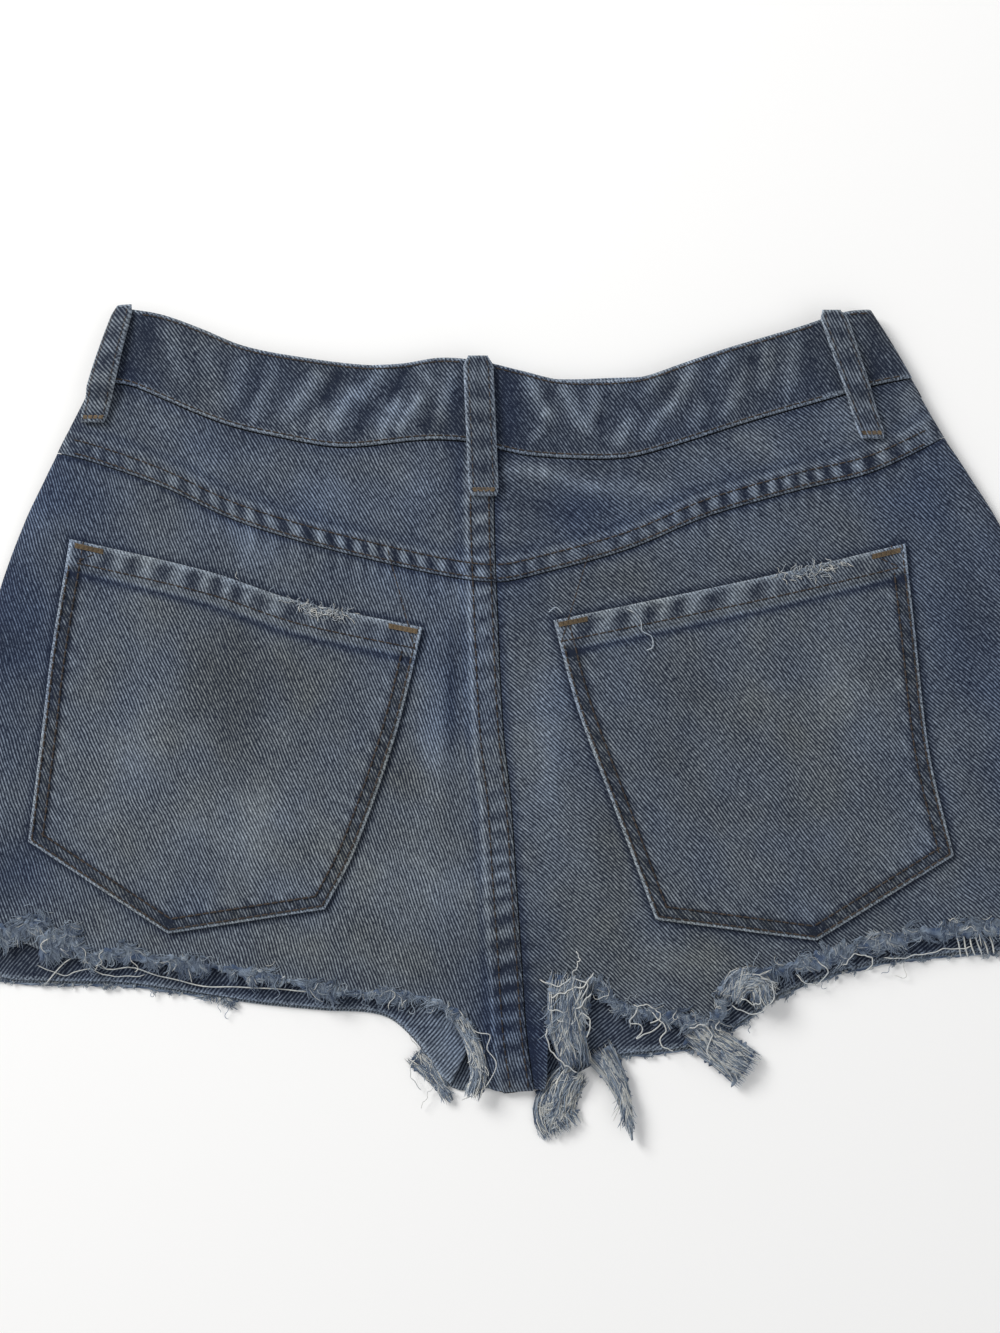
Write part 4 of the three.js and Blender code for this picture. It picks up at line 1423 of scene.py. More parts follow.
def rods(a: Array, b: Array, radius: float, sides: int) -> Shape:
    """Many round-ended rods at once.

    A ring of points is carried from one end to the other at four stations, narrow at the ends,
    and each end is closed by a fan round its tip.

    Args:
        a: the rods' starts, a row each.
        b: their ends.
        radius: the rods' radius.
        sides: points in a ring.

    Returns:
        All the rods.
    """
    along = b - a
    along = along / np.linalg.norm(along, axis=1, keepdims=True)
    side = np.cross(along, [0.0, 0.0, 1.0])
    side /= np.maximum(np.linalg.norm(side, axis=1, keepdims=True), 1e-6)
    up = np.cross(side, along)
    stations = np.array([0.0, 0.2, 0.8, 1.0])
    swell = np.array([0.45, 1.0, 1.0, 0.45]) * radius
    angles = np.arange(sides) * 2 * np.pi / sides
    round_ = (np.cos(angles)[:, None] * side[:, None, None]
              + np.sin(angles)[:, None] * up[:, None, None])
    rings = mix(a[:, None, None], b[:, None, None], stations[None, :, None, None])
    rings = rings + swell[None, :, None, None] * round_
    count, size = len(a), len(stations) * sides
    points = np.concatenate([rings.reshape(count, size, 3), a[:, None], b[:, None]], axis=1)
    ring = ring_numbers(len(stations), sides)
    starts = (np.arange(count) * (size + 2))[:, None, None]
    faces = [(cells(ring) + starts).reshape(-1, 4),
             (fans(ring, size, size + 1) + starts).reshape(-1, 3)]
    return Shape(points.reshape(-1, 3), faces).facing_out()


def seam_path(line: Callable, start: float, end: float, by: float, count: int = 60) -> Path:
    """A level seam's line between two values of x, moved up or down."""
    x = np.linspace(start, end, count)
    return Path(np.stack([x, line(x) + by], -1))


def inset(points: Sequence[tuple[float, float]], by: float, inward: tuple[float, float],
          count: int = 30) -> Path:
    """A path moved towards a middle: each point goes along the path's normal by a distance.

    Args:
        points: the path's own points.
        by: how far it moves.
        inward: a point on the side to which it moves.
        count: how many points the new path has.

    Returns:
        The moved path.
    """
    t = np.linspace(0, 1, count)
    x, y = Path(points)(t)
    dx, dy = np.gradient(x), np.gradient(y)
    long = np.hypot(dx, dy)
    nx, ny = -dy / long, dx / long
    way = np.sign(nx * (inward[0] - x) + ny * (inward[1] - y))
    return Path(np.stack([x + way * nx * by, y + way * ny * by], -1))


# ---- loose threads ---------------------------------------------------------------------------
def tubes(paths: Array, radius: Array, pale: Array, sides: int = 3) -> Shape:
    """Many thin tubes at once, each a small ring carried along its path.

    The last ring at each end is a fifth as wide and closed by one face.

    Args:
        paths: (threads, stations, 3) points.
        radius: each thread's radius.
        pale: each thread's dye value from 0, blue, to 1, white.
        sides: points in a ring.

    Returns:
        All the tubes.
    """
    count, stations, _ = paths.shape
    along = np.gradient(paths, axis=1)
    along /= np.maximum(np.linalg.norm(along, axis=2, keepdims=True), 1e-6)
    side = np.cross(along, [0.05, 0.02, 1.0])
    side /= np.maximum(np.linalg.norm(side, axis=2, keepdims=True), 1e-6)
    up = np.cross(side, along)
    angles = np.arange(sides) * 2 * np.pi / sides
    taper = np.ones(stations)
    taper[[0, -1]] = 0.2
    swell = radius[:, None, None, None] * taper[None, :, None, None]
    rings = paths[:, :, None] + swell * (np.cos(angles)[:, None] * side[:, :, None]
                                         + np.sin(angles)[:, None] * up[:, :, None])
    ring = ring_numbers(stations, sides)
    starts = (np.arange(count) * stations * sides)[:, None, None]
    faces = [(cells(ring) + starts).reshape(-1, 4), (lids(ring) + starts).reshape(-1, sides)]
    dye_and_shade = np.repeat(np.stack([pale, pale, pale], -1), stations * sides, axis=0)
    return Shape(rings.reshape(-1, 3), faces, dye_and_shade).facing_out()


@dataclass
class Threads:
    """Draws loose threads from one seeded stream."""

    random: np.random.Generator

    def curled(self, start: Array, heading: Array, length: Array, curl: float, drop: Array,
               stations: int = 8) -> Array:
        """Threads that wander: the heading bends evenly and sways, and steps add up.

        Args:
            start: (threads, 3) first points.
            heading: each thread's first direction, in radians.
            length: each thread's length.
            curl: how far it bends, in radians.
            drop: how far its end lies under its start.
            stations: points along each.

        Returns:
            (threads, stations, 3) points.
        """
        count = len(start)
        t = np.linspace(0, 1, stations)[None]
        bend = self.random.normal(0, curl, (count, 1))
        sway = self.random.uniform(0.2, 0.9, (count, 1)) * curl
        phase = self.random.uniform(0, 2 * np.pi, (count, 1))
        speed = self.random.uniform(0.6, 1.7, (count, 1))
        angle = heading[:, None] + bend * t + sway * np.sin(2 * np.pi * speed * t + phase)
        step = (length / (stations - 1))[:, None]
        x = start[:, :1] + np.cumsum(np.cos(angle) * step, axis=1)
        y = start[:, 1:2] + np.cumsum(np.sin(angle) * step, axis=1)
        hump = self.random.uniform(0.0, 0.9, (count, 1))
        z = start[:, 2:] + hump * np.sin(np.pi * t) - drop[:, None] * t**1.5
        return np.stack([x, y, z], -1)

    def locks(self, base: Array, heading: Array, length: Array, strands: int, spread: float,
              curl: float, high: float, stations: int = 9) -> Array:
        """Locks of threads: those of one lock start close together, share a bend and fan out.

        Args:
            base: (locks, 3) where each lock starts.
            heading: each lock's first direction, in radians.
            length: each lock's length.
            strands: threads in a lock.
            spread: how far apart they start.
            curl: how far a lock bends, in radians.
            high: how high a lock stands over its base.
            stations: points along each thread.

        Returns:
            (locks times strands, stations, 3) points.
        """
        count, random = len(base), self.random
        t = np.linspace(0, 1, stations)[None, None]
        own = random.normal(0, 1, (6, count, strands, 1))
        lock = random.normal(0, 1, (3, count, 1, 1))
        bend = curl * lock[0] + 0.30 * own[0]
        sway = 0.35 * curl * lock[1] + 0.15 * own[1]
        angle = heading[:, None, None] + 0.14 * own[2] + bend * t**1.2
        angle = angle + sway * np.sin(2 * np.pi * (0.8 + 0.2 * lock[2]) * t + own[3] * 0.4)
        step = length[:, None, None] * np.clip(0.85 + 0.2 * own[4], 0.4, 1.3) / (stations - 1)
        aside = spread * own[5]
        x = base[:, :1, None] - np.sin(heading)[:, None, None] * aside
        y = base[:, 1:2, None] + np.cos(heading)[:, None, None] * aside
        layer = random.uniform(0, high, (count, strands, 1))
        z = base[:, 2:, None] + layer * np.exp(-((aside / spread) ** 2) / 3) * (1 - 0.6 * t)
        z = z + 0.2 * np.sin(np.pi * t) + 0.0 * x
        paths = np.stack([x + np.cumsum(np.cos(angle) * step, axis=2),
                          y + np.cumsum(np.sin(angle) * step, axis=2), z], -1)
        return paths.reshape(count * strands, stations, 3)

    def lock_tones(self, locks: int, strands: int, low: float, high: float,
                   white: float) -> Array:
        """Dye values that vary from lock to lock, and less within one.

        Args:
            locks: how many locks.
            strands: threads in each.
            low: least value of a lock.
            high: greatest.
            white: share of white threads.

        Returns:
            A value for each thread.
        """
        values = self.random.uniform(low, high, (locks, 1))
        values = values + self.random.normal(0, 0.10, (locks, strands))
        pale = self.random.uniform(0, 1, (locks, strands)) < white
        return np.clip(np.where(pale, 0.85, values), 0.02, 0.95).ravel()

    def bundle(self, guide: Sequence[tuple[float, float]], wide: tuple[float, float],
               heights: tuple[float, float], count: int, curl: float,
               stations: int = 11) -> Array:
        """Threads that follow a guide: each keeps its own place across and curls round it.

        Args:
            guide: the guide's points.
            wide: the bundle's width at its start and end.
            heights: its lowest and highest thread.
            count: how many threads.
            curl: radius of the curls.
            stations: points along each thread.

        Returns:
            (threads, stations, 3) points.
        """
        start = self.random.uniform(0.0, 0.35, (count, 1))
        end = np.clip(start + self.random.uniform(0.45, 0.9, (count, 1)), 0, 1)
        t = mix(start, end, np.linspace(0, 1, stations)[None])
        x, y = Path(guide)(t)
        nearby = Path(guide)(np.clip(t + 0.02, 0, 1))
        before = Path(guide)(np.clip(t - 0.02, 0, 1))
        dx, dy = nearby[0] - before[0], nearby[1] - before[1]
        long = np.maximum(np.hypot(dx, dy), 1e-6)
        own = self.random.uniform(-0.5, 0.5, (count, 1))
        away = own * mix(wide[0], wide[1], t)
        phase = self.random.uniform(0, 2 * np.pi, (count, 1))
        speed = self.random.uniform(0.5, 2.0, (count, 1)) * self.random.choice([-1, 1], (count, 1))
        round_ = self.random.uniform(0.2, 1.0, (count, 1)) * curl * (1 - 0.5 * np.abs(2 * own))
        turn = phase + speed * np.linspace(0, 2 * np.pi, stations)[None]
        x = x - dy / long * away + round_ * np.cos(turn)
        y = y + dx / long * away + round_ * np.sin(turn)
        dome = np.sqrt(np.clip(1 - (2 * own) ** 2, 0.05, 1))
        layer = self.random.uniform(0.35, 1.0, (count, 1)) * dome
        z = mix(heights[0], heights[1], layer) + 0.25 * np.sin(turn * 1.3)
        return np.stack([x, y, z], -1)

    def radii(self, count: int, low: float, high: float) -> Array:
        """Random radii."""
        return self.random.uniform(low, high, count)

    def paleness(self, count: int, low: float, high: float, white: float) -> Array:
        """Random dye values, some of them white."""
        values = self.random.uniform(low, high, count)
        return np.where(self.random.uniform(0, 1, count) < white, 0.92, values)


def sways(random: np.random.Generator, terms: int, low: float, high: float) -> Callable:
    """An uneven smooth wave along a length: a sum of sines with random lengths and phases.

    Args:
        random: seeded stream.
        terms: how many sines.
        low: shortest wave length.
        high: longest.

    Returns:
        Function of the distance, between about -1 and 1.
    """
    lengths = random.uniform(low, high, terms)
    phases = random.uniform(0, 2 * np.pi, terms)

    def wave(s: Array) -> Array:
        """The wave at these distances."""
        return sum(np.sin(2 * np.pi * s / w + p) for w, p in zip(lengths, phases)) / terms**0.5

    return wave


def roll(middle: Array, out: Array, wide: Array, high: Array, random: np.random.Generator,
         pale: float, around: int = 12) -> Shape:
    """A lumpy roll of lint along a line: an oval ring carried along it, its size swaying.

    Args:
        middle: (stations, 3) the line.
        out: (stations, 2) direction across.
        wide: half width at each station.
        high: half height at each station.
        random: seeded stream.
        pale: mean dye value.
        around: points in a ring.

    Returns:
        The closed roll.
    """
    stations = len(middle)
    s = stations_of(middle)[:, None]
    a = (np.arange(around) * 2 * np.pi / around)[None]
    lumps = 1 + 0.22 * np.sin(s / 1.1 + 2 * a + random.uniform(0, 6))
    lumps += 0.18 * np.sin(s / 0.63 - 3 * a + random.uniform(0, 6))
    lumps += 0.15 * np.sin(s / 2.3 + a + random.uniform(0, 6))
    closing = np.sqrt(np.clip(1 - np.linspace(-1, 1, stations) ** 40, 0.02, 1))[:, None]
    across_ = np.cos(a) * wide[:, None] * lumps * closing
    up = np.sin(a) * high[:, None] * lumps * closing
    points = np.stack([middle[:, :1] + out[:, :1] * across_, middle[:, 1:2] + out[:, 1:] * across_,
                       middle[:, 2:] + up], -1).reshape(-1, 3)
    ring = ring_numbers(stations, around)
    mottle = pale + 0.16 * np.sin(s / 3.1 + a * 2) + 0.10 * np.sin(s / 1.7 - a)
    dye_and_shade = np.repeat(mottle.reshape(-1, 1), 3, axis=1)
    return Shape(points, [cells(ring), lids(ring)], dye_and_shade).facing_out()


# ---- sub-assemblies ---------------------------------------------------------------------------
HANDS = ("left", "right")
TWILL = {"yoke_left": 121.0, "yoke_right": 139.0, "back_left": 109.0, "back_right": 137.0,
         "pocket_left": 114.0, "pocket_right": 130.0, "band": 127.0, "loop": 118.0,
         "front_left": 63.0, "front_right": 60.0, "hem_left": 50.0, "hem_right": 40.0,
         "inside": 60.0}  # directions of the twill lines, in degrees
WAYS = {"left": -1, "right": 1}


@dataclass
class BackBody:
    """Yokes and back panels, with the felled seams between them."""

    room: Workroom
    columns: int = 120
    yoke_columns: int = 96
    yoke_rows: int = 24
    rows: int = 124

    def lines(self, hand: str, count: int) -> Spread:
        """Lines across a back piece: the felled strip's edge on the left hand, then the side.

        Args:
            hand: left or right.
            count: even steps between.

        Returns:
            The lines.
        """
        fell = (3.0, 5.0, 7.0, 9.0, FELL_WIDE - FELL_SLOPE, FELL_WIDE - 0.5, FELL_WIDE,
                FELL_WIDE + 0.8)
        return Spread(RIM + fell if hand == "left" else RIM, TURN, count)

    def fell(self, grid: Grid, hand: str) -> Array:
        """Height of the centre seam's felled strip: eased down at its far edge."""
        strip = ease((FELL_WIDE - grid.inner) / FELL_SLOPE) if hand == "left" else 0.0
        return np.broadcast_to(np.asarray(strip, float), grid.x.shape)

    def centre_marks(self, dye_and_shade: DyeAndShade, grid: Grid, hand: str) -> None:
        """Wash along the centre seam: puckered bars on the strip (faded ridges with painted
        shade), light rim, painted shade at the stitch rows and beside it.

        Args:
            dye_and_shade: what is changed.
            grid: the piece's grid.
            hand: left or right.
        """
        if hand == "left":
            strip = FELL_WIDE / 2
            dye_and_shade.rope(grid.y, grid.inner - strip, strip, 0.95, 8.6, 0.25)
            # painted shade at the two stitch rows and beside the raised strip, and a lighter line
            # at its folded edge
            dye_and_shade.lines(grid.inner, (1.0, 1.1, -0.35, 0.2), (FELL_WIDE - 1.6, 0.9, -0.35, 0.2),
                      (FELL_WIDE + 0.2, 0.8, 0.9), (FELL_WIDE + 3.2, 1.6, -0.30, -0.3))
            dye_and_shade.rim(grid.inner, 0.5, 0.6)
        else:
            # painted shade where the left strip's edge lies over this panel
            dye_and_shade.line(grid.inner - 0.6, 1.8, -0.75, -0.4)
            dye_and_shade.rope(grid.y, grid.inner - 3.5, 3.5, 0.28, 8.6)

    def yoke(self, hand: str) -> bpy.types.Object:
        """One yoke.

        Args:
            hand: left or right.

        Returns:
            The piece.
        """
        shift = SEAM_GAP / 2 * WAYS[hand]
        place = between(moved(FORM.band_seam, -SEAM_GAP / 2), moved(FORM.yoke_seam, SEAM_GAP / 2),
                        moved(FORM.back_seam, shift), FORM.side[hand])
        low = RIM + (2.4, 4.2, 6.0, YOKE_FELL - FELL_SLOPE, YOKE_FELL - 0.4, YOKE_FELL,
                     YOKE_FELL + 0.8)
        grid = Grid.of(place, self.lines(hand, self.yoke_columns),
                       Spread(RIM, low, self.yoke_rows))
        raised = np.maximum(self.fell(grid, hand), ease((YOKE_FELL - grid.lower) / FELL_SLOPE))
        pucker = 0.42 * np.sin(2 * np.pi * grid.x / 8.2 + 1.3 * np.sin(grid.x / 21))
        flat = 1 - 0.9 * ease(1 - grid.outer / SIDE_TURN)
        outer = (raised * FELL_RISE + pucker * bell(grid.lower - 4.3, 4.0)) * flat
        dye_and_shade = DyeAndShade.over(grid.x, grid.y)
        self.centre_marks(dye_and_shade, grid, hand)
        # faded ridges and painted shade on the puckered yoke seam
        dye_and_shade.rope(grid.x, grid.lower - 4.3, 3.4, 1.6, 8.2, 0.25)
        # painted shade at the two stitch rows and above the raised fell, and a lighter line at its
        # folded edge
        dye_and_shade.lines(grid.lower, (1.4, 0.8, -0.3, 0.2), (7.2, 0.8, -0.3, 0.2),
                  (YOKE_FELL + 0.4, 0.7, 0.45), (YOKE_FELL + 3.0, 2.0, -0.30, -0.2))
        # painted shadow of the waistband along the yoke's top, then faded ridges and painted shade
        # on its puckers
        dye_and_shade.line(grid.upper, 3.0, -0.45, -0.2)
        dye_and_shade.rope(grid.x, grid.upper - 3.0, 4.0, 0.25, 7.0)
        dye_and_shade.rim(grid.lower, 0.55, 0.7)
        cloth = Cloth(Face.BACK, grid.x, grid.y, outer, -CLOTH, grid.edge,
                      TWILL[f"yoke_{hand}"], dye_and_shade)
        return self.room.sheet(f"yoke_{hand}", cloth, Slot.DENIM, "washed_denim",
                               [f"waistband_front_{hand}", f"pocket_facing_{hand}"])

    def panel(self, hand: str) -> bpy.types.Object:
        """One back panel.

        Args:
            hand: left or right.

        Returns:
            The piece.
        """
        grid = Grid.of(back_place(hand), self.lines(hand, self.columns),
                       Spread(RIM, RIM, self.rows))
        pucker = 0.34 * np.sin(2 * np.pi * grid.y / 8.6 + np.sin(grid.y / 17))
        outer = self.fell(grid, hand) * FELL_RISE + pucker * bell(grid.inner - 5, 7.0)
        outer = outer + 0.12 * np.sin(2 * np.pi * grid.x / 8.2) * bell(grid.upper - 2, 5.0)
        dye_and_shade = DyeAndShade.over(grid.x, grid.y)
        self.centre_marks(dye_and_shade, grid, hand)
        # painted shade under the yoke's felled seam, then faded ridges and painted shade on its
        # puckers
        dye_and_shade.line(grid.upper - 0.4, 1.3, -0.8, -0.3)
        dye_and_shade.rope(grid.x, grid.upper - 4.0, 4.5, 0.35, 8.2)
        # painted shade towards the side, where the cloth turns under
        dye_and_shade.line(grid.outer, 9.0, -0.3, -0.3)
        # painted shadow round the pocket's sewn edge
        cut = POCKETS[hand]
        border = [*cut["top"], *cut["outer"][1:], cut["point"], *cut["inner"][::-1]]
        dye_and_shade.line(distance_to(border, grid.x, grid.y) - 0.6, 1.5, -0.85, -0.2)
        dye_and_shade.rim(grid.lower, 1.0, 0.5)
        cloth = Cloth(Face.BACK, grid.x, grid.y, outer, -CLOTH, grid.edge,
                      TWILL[f"back_{hand}"], dye_and_shade)
        return self.room.sheet(f"back_panel_{hand}", cloth, Slot.DENIM, "washed_denim",
                               [f"front_panel_{hand}", f"hem_turn_{hand}"])

    def stitches(self) -> bpy.types.Object:
        """Twin rows down the centre seam and along the yoke seam.

        Returns:
            The piece.
        """
        rows = []
        for line_x in (2.1, FELL_WIDE - 1.6):
            y = np.linspace(118, -156, 90)
            path = Path(np.stack([FORM.back_seam(y) - line_x, y], -1))
            rows.append(StitchRow(path, FELL_RISE + 0.1))
        for start, end in ((-189, -9.5), (-8, 175)):
            for above in (1.6, YOKE_FELL - 1.2):
                path = seam_path(FORM.yoke_seam, start, end, above)
                rows.append(StitchRow(path, FELL_RISE + 0.12))
        return self.room.stitched("stitches_back_seams", rows, Slot.DENIM, "brown_thread")

    def build(self) -> None:
        """Makes the yokes, the panels and their stitches."""
        for hand in HANDS:
            self.yoke(hand)
            self.panel(hand)
        self.stitches()


def distance_to(line: Sequence[tuple[float, float]], x: Array, y: Array) -> Array:
    """Distance of each place from a line of straight runs: the least over its runs.

    Args:
        line: the ends of its runs.
        x: places across.
        y: places up the garment.

    Returns:
        The distances.
    """
    return np.minimum.reduce([Fold(*a, *b).away(x, y) for a, b in zip(line, line[1:])])


def hem_path(table: dict, hand: str, inner: Callable) -> Path:
    """A hem's path, its ends set on the middle edge and on the side.

    Args:
        table: the two hems' points.
        hand: left or right.
        inner: the middle edge, its x at a height.

    Returns:
        The path, from the crotch out.
    """
    points = [list(map(float, p)) for p in table[hand]]
    points[0][0] = float(inner(points[0][1]))
    points[-1][0] = float(FORM.side[hand](points[-1][1]))
    return Path(points)


def back_place(hand: str) -> Place:
    """A back panel's flat shape.

    Args:
        hand: left or right.

    Returns:
        Function of the shares across and down.
    """
    shift = SEAM_GAP / 2 * WAYS[hand]
    inner = moved(FORM.back_seam, shift)
    upper = moved(FORM.yoke_seam, -SEAM_GAP / 2)
    a, b = corner(inner, upper), corner(FORM.side[hand], upper)
    lower = hem_path(BACK_HEM, hand, inner)
    return patch(across(upper, a[0], b[0]), lower, down(inner, a[1], float(lower(0.0)[1])),
                 down(FORM.side[hand], b[1], float(lower(1.0)[1])))


def front_place(hand: str) -> Place:
    """A front panel's flat shape: its outer edge goes round the slant pocket's mouth.

    Args:
        hand: left or right.

    Returns:
        Function of the shares across and down.
    """
    way = WAYS[hand]
    start = FLAP_EDGE + SEAM_GAP / 2 * way

    inner = upright(start)
    seam = moved(FORM.front_seam, -SEAM_GAP / 2)
    lower = hem_path(FRONT_HEM, hand, inner)
    high = float(seam(way * MOUTH[0][0]))
    lowest = float(lower(1.0)[1])
    mouth = [(way * x, high - drop) for x, drop in MOUTH]
    sides = [(float(FORM.side[hand](y)), y) for y in np.linspace(high - MOUTH_END, lowest, 9)]
    outer = Path(mouth + sides)
    return patch(across(seam, start, float(outer(0.0)[0])), lower,
                 down(inner, float(seam(start)), float(lower(0.0)[1])), outer)


@dataclass
class BackPocket:
    """A patch pocket: five corners, a turned top hem, twin rows of stitches and tan bars."""

    room: Workroom
    hand: str
    side_cells: int = 46
    rows: int = 84
    rim_wide: float = 150.0
    edge_row: float = 1.7
    second_row: float = 6.2
    bar_long: float = 15.0
    row_radius: float = 0.42
    bar_drops: tuple[float, ...] = (1.5, 2.05, 2.6, 3.15)

    def place(self) -> tuple[Place, float]:
        """The pocket's flat shape, and the share across at which its point lies.

        Returns:
            The function of the shares across and down, and that share.
        """
        cut = POCKETS[self.hand]
        start, end, point = cut["inner"][-1], cut["outer"][-1], cut["point"]
        share = abs((point[0] - start[0]) / (end[0] - start[0]))

        def lower(u: Array) -> tuple[Array, Array]:
            """Straight to the point, then straight to the outer corner.

            Args:
                u: shares across.

            Returns:
                The points.
            """
            near, far = u / share, (u - share) / (1 - share)
            return tuple(np.where(u < share, mix(start[k], point[k], near),
                                  mix(point[k], end[k], far)) for k in (0, 1))

        return patch(Path(cut["top"]), lower, Path(cut["inner"]), Path(cut["outer"])), share

    def cloth(self) -> bpy.types.Object:
        """The pocket's cloth: a raised hem, puckers along its stitched edge.

        Returns:
            The piece.
        """
        place, share = self.place()
        rim = np.array(RIM) / self.rim_wide
        half = np.linspace(0, 1, self.side_cells + 1)
        near = np.concatenate([rim, rim[-1] + (share - rim[-1]) * half[1:]])
        far = share + (1 - rim[-1] - share) * half[1:]
        u_line = np.concatenate([near, far, 1 - rim[-2::-1]])
        rows = Spread(RIM + (3.0, 5.5, 8.0, POCKET_HEM, POCKET_HEM + 0.5,
                             POCKET_HEM + FELL_SLOPE, POCKET_HEM + 1.8), RIM, self.rows)
        i, u = np.meshgrid(np.arange(rows.lines), u_line, indexing="ij")
        tall = np.abs(place(u, np.ones_like(u))[1] - place(u, np.zeros_like(u))[1])
        upper = rows.at(i, tall)
        v = upper / tall
        x, y = place(u, v)
        wide = np.abs(place(np.ones_like(v), v)[0] - place(np.zeros_like(v), v)[0])
        slope = 0.93
        inner, outer, lower = u * wide * slope, (1 - u) * wide * 0.99, (tall - upper) * slope
        body = np.minimum(np.minimum(inner, outer), lower)
        edge = np.minimum(body, upper)
        hem = ease((POCKET_HEM + FELL_SLOPE - upper) / FELL_SLOPE)
        along = x + y
        pucker = 0.15 * np.sin(2 * np.pi * along / 9.5 + 1.4 * np.sin(along / 27))
        lift = LAY_GAP + CLOTH + hem * POCKET_HEM_RISE + pucker * bell(body - 4.5, 5.0)
        lift = lift + 0.16 * np.sin(2 * np.pi * x / 8.4) * bell(upper - 6.0, 5.5)
        lift = lift + (0.35 + 1.6 * pucker) * bell(body - 4.0, 2.4) * (1 - hem)
        dye_and_shade = DyeAndShade.over(x, y)
        out = 1 - hem
        # faded ridges and painted shade on the puckered hem
        dye_and_shade.rope(x, upper - 5.0, 4.6, 1.05, 12.5, 0.3)
        # lighter lines at the hem's fold and just below it, and painted shade under the raised hem
        dye_and_shade.lines(upper, (POCKET_HEM - 0.2, 0.9, 0.5), (POCKET_HEM + 3.4, 1.5, -0.95, -0.6),
                  (POCKET_HEM + 1.4, 0.8, 0.7))
        dye_and_shade.rim(upper, 1.1, 0.85)
        weight = bell(body - 4.0, 2.6) * out
        weight = weight * (0.55 + 0.45 * np.sin(2 * np.pi * along / 7.3 + 2 * np.sin(along / 13)))
        dye_and_shade.wash_and_shade -= 0.85 * weight
        dye_and_shade.tint += 0.6 * weight
        # painted shade along the two stitch rows
        for row in (self.edge_row, self.second_row):
            dye_and_shade.wash_and_shade -= 0.7 * bell(body - row, 0.9) * out
        dye_and_shade.wash_and_shade += 0.55 * bell(body - 8.6, 2.2) * out * np.clip(
            np.sin(2 * np.pi * along / 10.5 + 1.6 * np.sin(along / 19)), -0.3, 1)
        dye_and_shade.rim(body - 0.4, 1.0, 1.2)
        # painted shade at the pocket's lower point and outer corner
        for dark_x, dark_y in (POCKETS[self.hand]["point"], POCKETS[self.hand]["outer"][-1]):
            dye_and_shade.wash_and_shade -= bell(np.hypot(x - dark_x, y - dark_y - 5.0), 3.2)
        piece = Cloth(Face.BACK, x, y, lift, LAY_GAP, edge, TWILL[f"pocket_{self.hand}"], dye_and_shade)
        return self.room.sheet(f"back_pocket_{self.hand}", piece, Slot.DENIM, "washed_denim",
                               [f"back_panel_{self.hand}"])

    def outline(self, by: float) -> list[Path]:
        """The stitched sides, moved in from the edge: inner, two lower ones and outer.

        Args:
            by: how far they are moved.

        Returns:
            Their paths.
        """
        cut = POCKETS[self.hand]
        middle = (np.mean([p[0] for p in cut["top"]]), -10.0)
        point = cut["point"]
        sides = [cut["inner"], (cut["inner"][-1], point), (point, cut["outer"][-1]),
                 cut["outer"][::-1]]
        lines = [inset(points, by, middle) for points in sides]
        trimmed = []
        for number, line in enumerate(lines):
            first = 0.42 * by / line.length if number else 0.0
            last = 1 - 0.42 * by / line.length if number < 3 else 1.0
            t = np.linspace(first, last, 24)
            trimmed.append(Path(np.stack(line(t), -1)))
        return trimmed

    def stitches(self) -> bpy.types.Object:
        """Rows round the sides, along the hem, and slanting at the top corners.

        Returns:
            The piece.
        """
        flat, hem_off = LAY_GAP + CLOTH + 0.38, LAY_GAP + CLOTH + POCKET_HEM_RISE + 0.12
        rows = []
        for by in (self.edge_row, self.second_row):
            rows += [StitchRow(path, flat, radius=self.row_radius) for path in self.outline(by)]
        top = np.array(POCKETS[self.hand]["top"], float)
        t = np.linspace(0.02, 0.98, 40)
        x, y = Path(top)(t)
        rows.append(StitchRow(Path(np.stack([x, y - POCKET_HEM + 1.1], -1)), hem_off))
        for corner_, way in ((top[0], np.sign(top[-1][0] - top[0][0])),
                             (top[-1], np.sign(top[0][0] - top[-1][0]))):
            lean = Path(top)(0.06 if corner_ is top[0] else 0.94)
            ends = [(corner_[0] + way * self.bar_long, float(lean[1]) - 2.4),
                    (corner_[0] + way * 3.2, corner_[1] - 10.0)]
            rows.append(StitchRow(Path(ends), hem_off, radius=0.28))
        return self.room.stitched(f"stitches_pocket_{self.hand}", rows, Slot.DENIM,
                                  "brown_thread")

    def bars(self) -> bpy.types.Object:
        """Tan bars under the hem's top edge, at its two corners: four close threads each.

        Returns:
            The piece.
        """
        off = LAY_GAP + CLOTH + POCKET_HEM_RISE + 0.2
        top = Path(POCKETS[self.hand]["top"])
        share = self.bar_long / top.length
        rows = []
        for start, end in ((0.015, share), (1 - share, 0.985)):
            for under in self.bar_drops:
                t = np.linspace(start, end, 12)
                x, y = top(t)
                rows.append(StitchRow(Path(np.stack([x, y - under], -1)), off, pitch=2.1,
                                      long=2.3, radius=0.30))
        return self.room.stitched(f"bars_pocket_{self.hand}", rows, Slot.DENIM, "tan_thread")

    def build(self) -> None:
        """Makes the cloth, its stitches and its bars."""
        self.cloth()
        self.stitches()
        self.bars()


